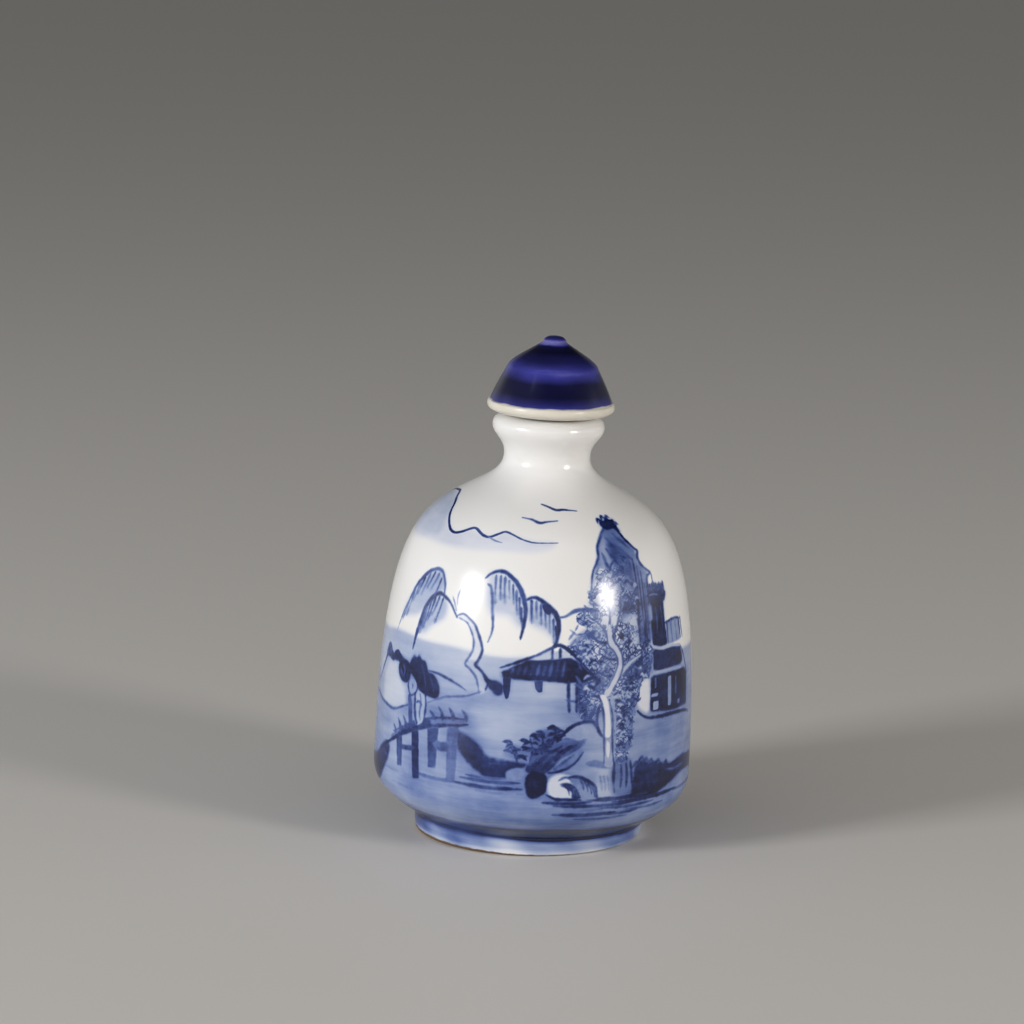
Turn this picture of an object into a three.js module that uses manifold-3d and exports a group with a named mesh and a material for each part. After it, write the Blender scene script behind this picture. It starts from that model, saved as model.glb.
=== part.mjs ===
// A porcelain snuff bottle and its stopper, in millimetres, +Z up, standing on z = 0.
// Both are thrown shapes: one closed outline each, turned about an axis. The bottle warped a little in the kiln, so
// its axis leans to +X and its foot is ground flat across the lean. It is hollow, with an even wall and a narrow
// bore. The stopper is a flared dome with a short plug, which rests on the lip and hangs free in the bore.

import * as THREE from "three";
import { mergeVertices } from "three/addons/utils/BufferGeometryUtils.js";
import Module from "manifold-3d";

const wasm = await Module();
wasm.setup();

const degrees = THREE.MathUtils.degToRad;

// The bottle's outside, as radii and heights along its own axis
const LEAN = degrees(1.53);
const FOOT = { radius: 17.35, topRadius: 17.55, height: 2.8 };
const BELLY = { radius: 24.1, height: 10.4 };
const SHOULDER = { radius: 17.7, height: 48.5, slope: degrees(42.5) };
const NECK = { radius: 6.5, height: 58.0 };
const LIP = { radius: 8.45, height: 62.45 };
const MOUTH = { radius: 6.2, height: 64.1, edge: 0.8 };

// The bottle's inside
const WALL = 2.5;
const FLOOR = { radius: 14, height: 5.0 };
const RECESS = { radius: 14.8, depth: 2.0, round: 1.6 };
const GRIND = 2; // how far the thrown foot runs on below the plane it is ground to

// The stopper, along the bottle's axis, a little off its middle
const STOPPER_SHIFT = 0.2;
const PLUG = { radius: 3.4, bottom: 58.4, round: 0.7 };
const SEAT = { radius: 8.0, height: 64.4 };
const RIM = { radius: 9.6, height: 65.5, topRadius: 9.35, topHeight: 66.25 };
const CAP = { radius: 9.15, shoulderRadius: 6.8, shoulderHeight: 71.45 };
const NIPPLE = { neckRadius: 2.85, neckHeight: 74.45, radius: 2.0, height: 75.1, top: 76.1 };
const NIPPLE_DRIFT = 0.1; // the tip was pulled off centre, towards +X

const BOTTLE_SEGMENTS = 56;
const STOPPER_SEGMENTS = 40;

const at = (radius, height) => new THREE.Vector2(radius, height);

function bend(start, startHandle, endHandle, end) {
  return new THREE.CubicBezierCurve(start, startHandle, endHandle, end);
}

// Points along a curve, moved off it to its left by a distance. The first point is left out, so that curves join.
function along(curve, steps, distance = 0) {
  const points = [];
  for (let i = 1; i <= steps; i++) {
    const tangent = curve.getTangent(i / steps);
    points.push(curve.getPoint(i / steps).add(at(-tangent.y, tangent.x).multiplyScalar(distance)));
  }
  return points;
}

// The four bends of the outside wall, from the top of the foot to the lip.
function bottleBends() {
  const footTop = at(FOOT.topRadius, FOOT.height);
  const belly = at(BELLY.radius, BELLY.height);
  const shoulder = at(SHOULDER.radius, SHOULDER.height);
  const inwards = at(-Math.sin(SHOULDER.slope), Math.cos(SHOULDER.slope));
  const neck = at(NECK.radius, NECK.height);
  const lip = at(LIP.radius, LIP.height);
  return {
    under: bend(footTop, at(21.7, 5.4), at(BELLY.radius, 6.8), belly),
    side: bend(belly, at(BELLY.radius, 33.4), shoulder.clone().addScaledVector(inwards, -6.3), shoulder),
    throat: bend(shoulder, shoulder.clone().addScaledVector(inwards, 7.2), at(NECK.radius, 53.9), neck),
    flare: bend(neck, at(NECK.radius, 60.3), at(LIP.radius, 60.9), lip),
  };
}

function bottleOutline() {
  const { under, side, throat, flare } = bottleBends();
  const bore = NECK.radius - WALL;
  const lipTop = bend(flare.v3, at(LIP.radius, 63.6), at(7.4, MOUTH.height), at(MOUTH.radius, MOUTH.height));
  const mouthEdge = bend(
    at(bore + MOUTH.edge, MOUTH.height),
    at(bore + MOUTH.edge / 2, MOUTH.height),
    at(bore, MOUTH.height - MOUTH.edge / 2),
    at(bore, MOUTH.height - MOUTH.edge),
  );
  // the same two bends, a wall's thickness inside and run downwards
  const throatInside = along(throat, 7, WALL).reverse();
  const sideInside = along(side, 6, WALL).reverse();
  const bellyInside = at(BELLY.radius - WALL, BELLY.height);
  const floorBend = bend(
    bellyInside,
    at(bellyInside.x, 7.2),
    at(19.5, FLOOR.height + 0.4),
    at(FLOOR.radius, FLOOR.height),
  );
  const recessBend = bend(
    at(0, RECESS.depth),
    at(RECESS.radius - RECESS.round, RECESS.depth),
    at(RECESS.radius, RECESS.depth),
    at(RECESS.radius, RECESS.depth - RECESS.round),
  );
  return [
    at(0, RECESS.depth),
    ...along(recessBend, 4),
    at(RECESS.radius, -GRIND),
    at(FOOT.radius, -GRIND),
    at(FOOT.topRadius, FOOT.height),
    ...along(under, 6),
    ...along(side, 9),
    ...along(throat, 9),
    ...along(flare, 4),
    ...along(lipTop, 4),
    at(bore + MOUTH.edge, MOUTH.height),
    ...along(mouthEdge, 2),
    ...throatInside,
    ...sideInside,
    bellyInside,
    ...along(floorBend, 4),
    at(0, FLOOR.height),
  ];
}

function stopperOutline() {
  const rimTop = at(RIM.topRadius, RIM.topHeight);
  const capShoulder = at(CAP.shoulderRadius, CAP.shoulderHeight);
  const nippleNeck = at(NIPPLE.neckRadius, NIPPLE.neckHeight);
  const plugEnd = bend(
    at(PLUG.radius - PLUG.round, PLUG.bottom),
    at(PLUG.radius, PLUG.bottom),
    at(PLUG.radius, PLUG.bottom),
    at(PLUG.radius, PLUG.bottom + PLUG.round),
  );
  const bevel = bend(at(SEAT.radius, SEAT.height), at(9.0, 64.6), at(RIM.radius, 65.0), at(RIM.radius, RIM.height));
  const rimEdge = bend(bevel.v3, at(RIM.radius, 65.9), at(9.55, RIM.topHeight), rimTop);
  const flank = bend(at(CAP.radius, 66.35), at(8.5, 68.2), at(7.55, 69.9), capShoulder);
  const cone = bend(capShoulder, at(6.35, 72.4), at(4.2, 73.55), nippleNeck);
  const tipSide = bend(nippleNeck, at(2.45, 74.7), at(2.15, 74.85), at(NIPPLE.radius, NIPPLE.height));
  const tip = bend(tipSide.v3, at(1.85, 75.65), at(1.3, NIPPLE.top), at(0, NIPPLE.top));
  return [
    at(0, PLUG.bottom),
    at(PLUG.radius - PLUG.round, PLUG.bottom),
    ...along(plugEnd, 2),
    at(PLUG.radius, SEAT.height),
    at(SEAT.radius, SEAT.height),
    ...along(bevel, 3),
    ...along(rimEdge, 2),
    at(CAP.radius, 66.35),
    ...along(flank, 6),
    ...along(cone, 5),
    ...along(tipSide, 2),
    ...along(tip, 4),
  ];
}

// The outline turned about +Z. LatheGeometry turns about Y, so the result is tipped up afterwards.
function turned(outline, segments) {
  return new THREE.LatheGeometry(outline, segments).rotateX(Math.PI / 2);
}

function solidOf(geometry) {
  const bare = new THREE.BufferGeometry();
  bare.setAttribute("position", geometry.getAttribute("position"));
  bare.setIndex(geometry.getIndex());
  const merged = mergeVertices(bare, 1e-4);
  return new wasm.Manifold(
    new wasm.Mesh({
      numProp: 3,
      vertProperties: merged.getAttribute("position").array,
      triVerts: new Uint32Array(merged.getIndex().array),
    }),
  );
}

function geometryOf(solid) {
  const mesh = solid.getMesh();
  const geometry = new THREE.BufferGeometry();
  geometry.setAttribute("position", new THREE.BufferAttribute(mesh.vertProperties, 3));
  geometry.setIndex(new THREE.BufferAttribute(mesh.triVerts, 1));
  return geometry;
}

// The turned bottle leans over, and everything below the standing plane is ground away.
function bottleGeometry() {
  const leaning = turned(bottleOutline(), BOTTLE_SEGMENTS).rotateY(LEAN);
  const across = 4 * BELLY.radius;
  const below = new THREE.BoxGeometry(across, across, across).translate(0, 0, -across / 2);
  return geometryOf(solidOf(leaning).subtract(solidOf(below)));
}

// The tip drifts sideways with height above the cap's shoulder, and then the stopper takes its place in the mouth.
function stopperGeometry() {
  const geometry = turned(stopperOutline(), STOPPER_SEGMENTS);
  const position = geometry.getAttribute("position");
  const tipHeight = NIPPLE.top - CAP.shoulderHeight;
  for (let i = 0; i < position.count; i++) {
    const rise = Math.max(0, position.getZ(i) - CAP.shoulderHeight) / tipHeight;
    position.setX(i, position.getX(i) + NIPPLE_DRIFT * rise);
  }
  return geometry.rotateY(LEAN).translate(STOPPER_SHIFT, 0, 0);
}

function glazed(name, geometry, colour, roughness) {
  geometry.computeVertexNormals();
  const mesh = new THREE.Mesh(geometry, new THREE.MeshStandardMaterial({ color: colour, roughness, metalness: 0 }));
  mesh.name = name;
  return mesh;
}

const bottle = glazed("bottle", bottleGeometry(), 0xd9dae3, 0.12);
const stopper = glazed("stopper", stopperGeometry(), 0x1a1c4a, 0.1);

const snuffBottle = new THREE.Group();
snuffBottle.add(bottle, stopper);

// The origin is under the middle of the whole outline, on the standing plane.
const middle = new THREE.Box3().setFromObject(snuffBottle, true).getCenter(new THREE.Vector3());
for (const mesh of snuffBottle.children) mesh.geometry.translate(-middle.x, -middle.y, 0);

export default snuffBottle;
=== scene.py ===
"""A porcelain snuff bottle painted in underglaze cobalt, and its cobalt-glazed stopper, around the frame.

Metres, +Z up. Sizes of the ware are written in millimetres along its own axis, which leans a little to +X,
and MM turns them to metres. Places on the painted wall are (degrees round the axis from the front, height in
mm). The painting is drawn mark by mark, so most of this script is the marks' own points.
"""

import math

import bpy
import numpy as np
from mathutils import Matrix, Vector


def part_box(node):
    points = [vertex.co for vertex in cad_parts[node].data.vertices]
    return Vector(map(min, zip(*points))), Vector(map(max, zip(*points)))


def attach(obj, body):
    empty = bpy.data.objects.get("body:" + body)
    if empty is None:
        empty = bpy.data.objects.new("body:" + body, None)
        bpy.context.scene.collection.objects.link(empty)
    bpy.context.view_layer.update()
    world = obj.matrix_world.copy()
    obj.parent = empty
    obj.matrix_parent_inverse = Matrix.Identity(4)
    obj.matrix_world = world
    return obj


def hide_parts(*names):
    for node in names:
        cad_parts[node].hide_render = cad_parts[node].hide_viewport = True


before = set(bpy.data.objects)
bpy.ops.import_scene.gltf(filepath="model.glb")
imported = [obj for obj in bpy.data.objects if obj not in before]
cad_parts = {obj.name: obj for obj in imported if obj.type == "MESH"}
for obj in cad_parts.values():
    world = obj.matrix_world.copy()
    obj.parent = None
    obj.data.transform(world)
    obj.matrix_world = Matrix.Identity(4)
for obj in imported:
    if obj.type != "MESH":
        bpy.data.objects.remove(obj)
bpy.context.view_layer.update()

MM = 0.001
TURN = 2 * math.pi
SEED = 7

# ---------------------------------------------------------------- sizes, in mm along the bottle's axis
LEAN = math.radians(1.53)
FOOT_HEIGHT = 2.8
RECESS = 2.0  # how far the underside is hollowed inside the foot ring
UNDER_SEAM = (15.8, 0.0)  # where the baking map parts the outside from the underside
BELLY = (24.1, 10.4)
SHOULDER = (17.7, 48.5)
SHOULDER_SLOPE = math.radians(42.5)
NECK = (6.5, 58.0)
LIP = (8.45, 62.45)
MOUTH = (6.2, 64.1)
MOUTH_SEAM = (4.8, 64.1)  # where the baking map parts the outside from the inside
FLOOR_LEVEL = 5.0
WALL = 2.5

STOPPER_SHIFT = 0.2
PLUG_RADIUS = 3.4
PLUG_END = 58.4
SEAT = 64.4
RIM = (9.6, 65.5)
CAP_SHOULDER = 71.45
TIP_NECK = (2.5, 74.65)
TIP_TOP = 76.1
TIP_DRIFT = 0.1
GLAZE_LINE = 66.3  # where the cobalt glaze of the cap stops, above its cream rim

BOTTLE_COLUMNS = 348
STOPPER_COLUMNS = 240
FRONT_CROWDING = 0.3  # columns stand this much closer at the painted front than their mean, and wider behind

# ---------------------------------------------------------------- small helpers


def linear(code):
    """An sRGB hex colour as linear RGBA."""
    channels = [int(code[i : i + 2], 16) / 255 for i in (1, 3, 5)]
    return (*[c / 12.92 if c <= 0.04045 else ((c + 0.055) / 1.055) ** 2.4 for c in channels], 1.0)


def add(tree, kind, inputs=None, **settings):
    """Adds a node. An input is a value, a node (its first output) or one output of a node."""
    node = tree.nodes.new(kind)
    for name, value in settings.items():
        setattr(node, name, value)
    for key, value in (inputs or {}).items():
        if isinstance(value, bpy.types.Node):
            value = value.outputs[0]
        if isinstance(value, bpy.types.NodeSocket):
            tree.links.new(value, node.inputs[key])
        else:
            node.inputs[key].default_value = value
    return node


def smoothstep(low, high, value):
    t = np.clip((value - low) / (high - low), 0.0, 1.0)
    return t * t * (3 - 2 * t)


# ---------------------------------------------------------------- outlines, as (radius, height) in mm


def bend(start, start_handle, end_handle, end, spacing, inset=0.0):
    """Points on a cubic bend, about a spacing apart, moved to its left by inset. The first is left out."""
    p = [np.array(q, float) for q in (start, start_handle, end_handle, end)]
    t = np.linspace(0, 1, 400)[:, None]
    curve = (1 - t) ** 3 * p[0] + 3 * (1 - t) ** 2 * t * p[1] + 3 * (1 - t) * t * t * p[2] + t**3 * p[3]
    tangent = np.gradient(curve, axis=0)
    tangent /= np.linalg.norm(tangent, axis=1)[:, None]
    curve = curve + inset * np.stack([-tangent[:, 1], tangent[:, 0]], 1)
    run = np.concatenate([[0], np.cumsum(np.linalg.norm(np.diff(curve, axis=0), axis=1))])
    steps = np.linspace(0, run[-1], max(2, round(run[-1] / spacing) + 1))[1:]
    return [(float(np.interp(s, run, curve[:, 0])), float(np.interp(s, run, curve[:, 1]))) for s in steps]


def bottle_outline():
    """From the middle of the underside, up the outside, over the lip and down the inside to the floor."""
    r, h = SHOULDER
    inward = (-math.sin(SHOULDER_SLOPE), math.cos(SHOULDER_SLOPE))
    below_shoulder = (r - 6.3 * inward[0], h - 6.3 * inward[1])
    above_shoulder = (r + 7.2 * inward[0], h + 7.2 * inward[1])
    side = (BELLY, (BELLY[0], 33.4), below_shoulder, SHOULDER)
    throat = (SHOULDER, above_shoulder, (NECK[0], 53.9), NECK)
    throat_points = bend(*throat, 0.33)
    bore = NECK[0] - WALL
    inner_belly = (BELLY[0] - WALL, BELLY[1])
    return [
        *[(x, RECESS) for x in (0, 4, 8, 11)],
        *bend((11, RECESS), (13.2, RECESS), (14.8, RECESS), (14.8, 0.7), 0.5),
        *bend((14.8, 0.7), (14.8, 0.3), (14.95, 0.0), (15.3, 0.0), 0.25),
        UNDER_SEAM,
        (16.4, 0.0),
        *bend((16.4, 0.0), (16.9, 0.0), (17.3, 0.1), (17.36, 0.5), 0.2),
        *[(17.36 + 0.2 * (z - 0.5) / 1.9, z) for z in (0.8, 1.15, 1.5, 1.85, 2.15, 2.4)],
        *bend((17.56, 2.4), (17.56, 2.7), (17.7, 2.93), (18.2, 3.18), 0.22),
        *bend((18.2, 3.18), (21.75, 5.5), (BELLY[0], 6.8), BELLY, 0.34),
        *bend(*side, 0.3),
        # the painting ends part of the way up the throat, so rows may lie wider apart from there
        *throat_points[:22],
        *throat_points[22::2],
        *bend(NECK, (NECK[0], 60.3), (LIP[0], 60.9), LIP, 0.4),
        *bend(LIP, (LIP[0], 63.6), (7.4, MOUTH[1]), MOUTH, 0.3),
        (5.5, MOUTH[1]),
        MOUTH_SEAM,
        *bend(MOUTH_SEAM, (4.4, MOUTH[1]), (bore, 63.7), (bore, 63.3), 0.25),
        *reversed(bend(*throat, 2.0, inset=WALL)),
        *reversed(bend(*side, 4.0, inset=WALL)),
        inner_belly,
        *bend(inner_belly, (21.6, 7.2), (19.5, 5.4), (14.0, FLOOR_LEVEL), 1.5),
        *[(x, FLOOR_LEVEL) for x in (9, 4, 0)],
    ]


def stopper_outline():
    """From the end of the plug, out over the seat and the rim, and up the cap to the tip."""
    return [
        *[(x, PLUG_END) for x in (0, 1.2, 2.3)],
        *bend((2.3, PLUG_END), (3.1, PLUG_END), (PLUG_RADIUS, 58.7), (PLUG_RADIUS, 59.5), 0.2),
        *[(PLUG_RADIUS, z) for z in (60.5, 61.5, 62.5, 63.5)],
        *bend((PLUG_RADIUS, 63.5), (PLUG_RADIUS, 64.2), (3.6, SEAT), (4.1, SEAT), 0.2),
        *[(x, SEAT) for x in (5.0, 6.0, 7.0)],
        *bend((7.0, SEAT), (8.3, SEAT), (RIM[0], 64.75), RIM, 0.2),
        *bend(RIM, (RIM[0], 65.95), (9.52, 66.2), (9.3, 66.24), 0.12),
        *bend((9.3, 66.24), (9.2, 66.26), (9.22, 66.34), (9.13, 66.5), 0.09),
        *bend((9.13, 66.5), (8.46, 68.3), (7.55, 69.9), (6.8, CAP_SHOULDER), 0.16),
        *bend((6.8, CAP_SHOULDER), (6.35, 72.4), (4.2, 73.55), TIP_NECK, 0.16),
        *bend(TIP_NECK, (2.2, 74.85), (1.9, 75.0), (1.78, 75.2), 0.12),
        *bend((1.78, 75.2), (1.65, 75.75), (1.15, TIP_TOP), (0, TIP_TOP), 0.16),
    ]


def outline_object(name, points):
    """The outline as a chain of vertices in the XZ plane, for the turning tree to sample row by row."""
    mesh = bpy.data.meshes.new(name)
    chain = [(i, i + 1) for i in range(len(points) - 1)]
    mesh.from_pydata([(r * MM, 0.0, h * MM) for r, h in points], chain, [])
    outline = bpy.data.objects.new(name, mesh)
    bpy.context.scene.collection.objects.link(outline)
    return outline


# ---------------------------------------------------------------- the wheel: one tree turns every piece


def wheel_tree():
    """Turns an outline about its axis, leans it over, and keeps the foot flat on the ground plane."""
    tree = bpy.data.node_groups.new("turned on the wheel", "GeometryNodeTree")
    for name, kind in (
        ("Outline", "NodeSocketObject"),
        ("Columns", "NodeSocketInt"),
        ("Front crowding", "NodeSocketFloat"),
        ("Lean", "NodeSocketFloat"),
        ("Foot height", "NodeSocketFloat"),
        ("Shift", "NodeSocketFloat"),
        ("Tip drift", "NodeSocketFloat"),
        ("Drift starts", "NodeSocketFloat"),
        ("Drift ends", "NodeSocketFloat"),
        ("Material", "NodeSocketMaterial"),
    ):
        tree.interface.new_socket(name, in_out="INPUT", socket_type=kind)
    tree.interface.new_socket("Geometry", in_out="OUTPUT", socket_type="NodeSocketGeometry")
    given = add(tree, "NodeGroupInput").outputs

    outline = add(tree, "GeometryNodeObjectInfo", {"Object": given["Outline"]}).outputs["Geometry"]
    rows = add(tree, "GeometryNodeAttributeDomainSize", {"Geometry": outline}, component="MESH")
    around = add(tree, "ShaderNodeMath", {0: given["Columns"], 1: 1.0}, operation="ADD")
    spread = {"Size X": 1.0, "Size Y": 1.0, "Vertices X": around, "Vertices Y": rows}
    sheet = add(tree, "GeometryNodeMeshGrid", spread)

    # every vertex of the sheet knows its row on the outline and its column round the axis
    index = add(tree, "GeometryNodeInputIndex")
    column = add(tree, "FunctionNodeIntegerMath", {0: index, 1: rows}, operation="DIVIDE_FLOOR")
    row = add(tree, "FunctionNodeIntegerMath", {0: index, 1: rows}, operation="MODULO")
    here = add(tree, "GeometryNodeInputPosition")
    sample = add(
        tree,
        "GeometryNodeSampleIndex",
        {"Geometry": outline, "Index": row},
        data_type="FLOAT_VECTOR",
        domain="POINT",
    )
    tree.links.new(here.outputs[0], sample.inputs["Value"])
    point = add(tree, "ShaderNodeSeparateXYZ", {0: sample}).outputs
    radius, height = point["X"], point["Z"]

    share = add(tree, "ShaderNodeMath", {0: column, 1: given["Columns"]}, operation="DIVIDE")
    full = add(tree, "ShaderNodeMath", {0: share, 1: TURN}, operation="MULTIPLY")
    wave = add(tree, "ShaderNodeMath", {0: full}, operation="SINE")
    crowd = add(tree, "ShaderNodeMath", {0: wave, 1: given["Front crowding"]}, operation="MULTIPLY")
    angle = add(tree, "ShaderNodeMath", {0: full, 1: crowd}, operation="SUBTRACT")
    sine = add(tree, "ShaderNodeMath", {0: angle}, operation="SINE")
    cosine = add(tree, "ShaderNodeMath", {0: angle}, operation="COSINE")
    out_x = add(tree, "ShaderNodeMath", {0: radius, 1: sine}, operation="MULTIPLY")
    out_y = add(tree, "ShaderNodeMath", {0: radius, 1: cosine}, operation="MULTIPLY")
    place_y = add(tree, "ShaderNodeMath", {0: out_y, 1: -1.0}, operation="MULTIPLY")
    drift = add(
        tree,
        "ShaderNodeMapRange",
        {
            "Value": height,
            "From Min": given["Drift starts"],
            "From Max": given["Drift ends"],
            "To Min": 0.0,
            "To Max": given["Tip drift"],
        },
    )
    drifted = add(tree, "ShaderNodeMath", {0: out_x, 1: drift}, operation="ADD")

    # the lean, which fades out down the foot so that its ring lies flat
    lean_sine = add(tree, "ShaderNodeMath", {0: given["Lean"]}, operation="SINE")
    lean_cosine = add(tree, "ShaderNodeMath", {0: given["Lean"]}, operation="COSINE")
    across = add(tree, "ShaderNodeMath", {0: drifted, 1: lean_cosine}, operation="MULTIPLY")
    rise_across = add(tree, "ShaderNodeMath", {0: height, 1: lean_sine, 2: across}, operation="MULTIPLY_ADD")
    place_x = add(tree, "ShaderNodeMath", {0: rise_across, 1: given["Shift"]}, operation="ADD")
    up_the_foot = {0: height, 1: given["Foot height"]}
    fade = add(tree, "ShaderNodeMath", up_the_foot, operation="DIVIDE", use_clamp=True)
    faded = add(tree, "ShaderNodeMath", {0: fade, 1: lean_sine}, operation="MULTIPLY")
    sink = add(tree, "ShaderNodeMath", {0: drifted, 1: faded}, operation="MULTIPLY")
    upright = add(tree, "ShaderNodeMath", {0: height, 1: lean_cosine}, operation="MULTIPLY")
    place_z = add(tree, "ShaderNodeMath", {0: upright, 1: sink}, operation="SUBTRACT")

    place = add(tree, "ShaderNodeCombineXYZ", {"X": place_x, "Y": place_y, "Z": place_z})
    turned = add(tree, "GeometryNodeSetPosition", {"Geometry": sheet, "Position": place})
    numbered = add(tree, "GeometryNodeStoreNamedAttribute", {"Geometry": turned, "Name": "row", "Value": row})
    closed = add(tree, "GeometryNodeMergeByDistance", {"Geometry": numbered, "Distance": 1e-6})
    smooth = add(tree, "GeometryNodeSetShadeSmooth", {"Geometry": closed})
    real = add(tree, "GeometryNodeRealizeInstances", {"Geometry": smooth})
    dressed = add(tree, "GeometryNodeSetMaterial", {"Geometry": real, "Material": given["Material"]})
    add(tree, "NodeGroupOutput", {"Geometry": dressed})
    return tree


WHEEL = wheel_tree()


def turned(name, values):
    """A plain mesh object from the wheel tree, with the given inputs."""
    blank = bpy.data.objects.new(name + " blank", bpy.data.meshes.new(name + " blank"))
    bpy.context.scene.collection.objects.link(blank)
    wheel = blank.modifiers.new("wheel", "NODES")
    wheel.node_group = WHEEL
    for item in WHEEL.interface.items_tree:
        if item.in_out == "INPUT":
            wheel[item.identifier] = values[item.name]
    evaluated = blank.evaluated_get(bpy.context.evaluated_depsgraph_get())
    mesh = bpy.data.meshes.new_from_object(evaluated)
    mesh.name = name
    mesh.materials.pop(index=0)  # the grid's own empty slot
    piece = bpy.data.objects.new(name, mesh)
    bpy.context.scene.collection.objects.link(piece)
    for spare in (blank, values["Outline"]):
        bpy.data.objects.remove(spare)
    return piece


def centred_shift(outline, node):
    """Where along X the foot's middle stands, in mm from the origin, for the piece to fill its node's box."""
    low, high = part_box(node)
    rights = max(r * math.cos(LEAN) + h * math.sin(LEAN) for r, h in outline)
    lefts = min(-r * math.cos(LEAN) + h * math.sin(LEAN) for r, h in outline)
    return (low[0] + high[0]) / 2 / MM - (rights + lefts) / 2


# ---------------------------------------------------------------- the painting, as marks on the wall

LAYERS = 36
REACH = 1.6  # mm beside a mark within which the wall's vertices are measured from it
CLAIM = 0.45  # mm of wall beside a mark that its layer keeps for it, so that marks never run into each other
GUARD = 0.33  # mm beyond that, which other marks on the layer keep clear of
BRUSH = (0.45, 1.0, 0.9, 0.35)  # how hard the brush presses along a plain stroke
EDGE = 0.14  # mm over which a firm mark fades out at its side
DARK = 0.7  # tone above which a filled shape bleeds into the wash round it
BLEED = 0.62  # the bleeding's tone, as a share of the shape's
MM_PER_DEGREE = 0.41  # mm along the wall in a degree of turn, at the belly
UNROLL_RADIUS = 24  # mm, at which the wall is unrolled for the leaves' pattern
CLAY_INSIDE = 14.9  # mm, the inner edge of the bare ring that the pot stands on
CLAY_UP_THE_WALL = 0.3  # mm along the axis
CLAY_ABOVE_GROUND = 0.12  # mm, so that the clay shows all round though the pot leans


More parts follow.
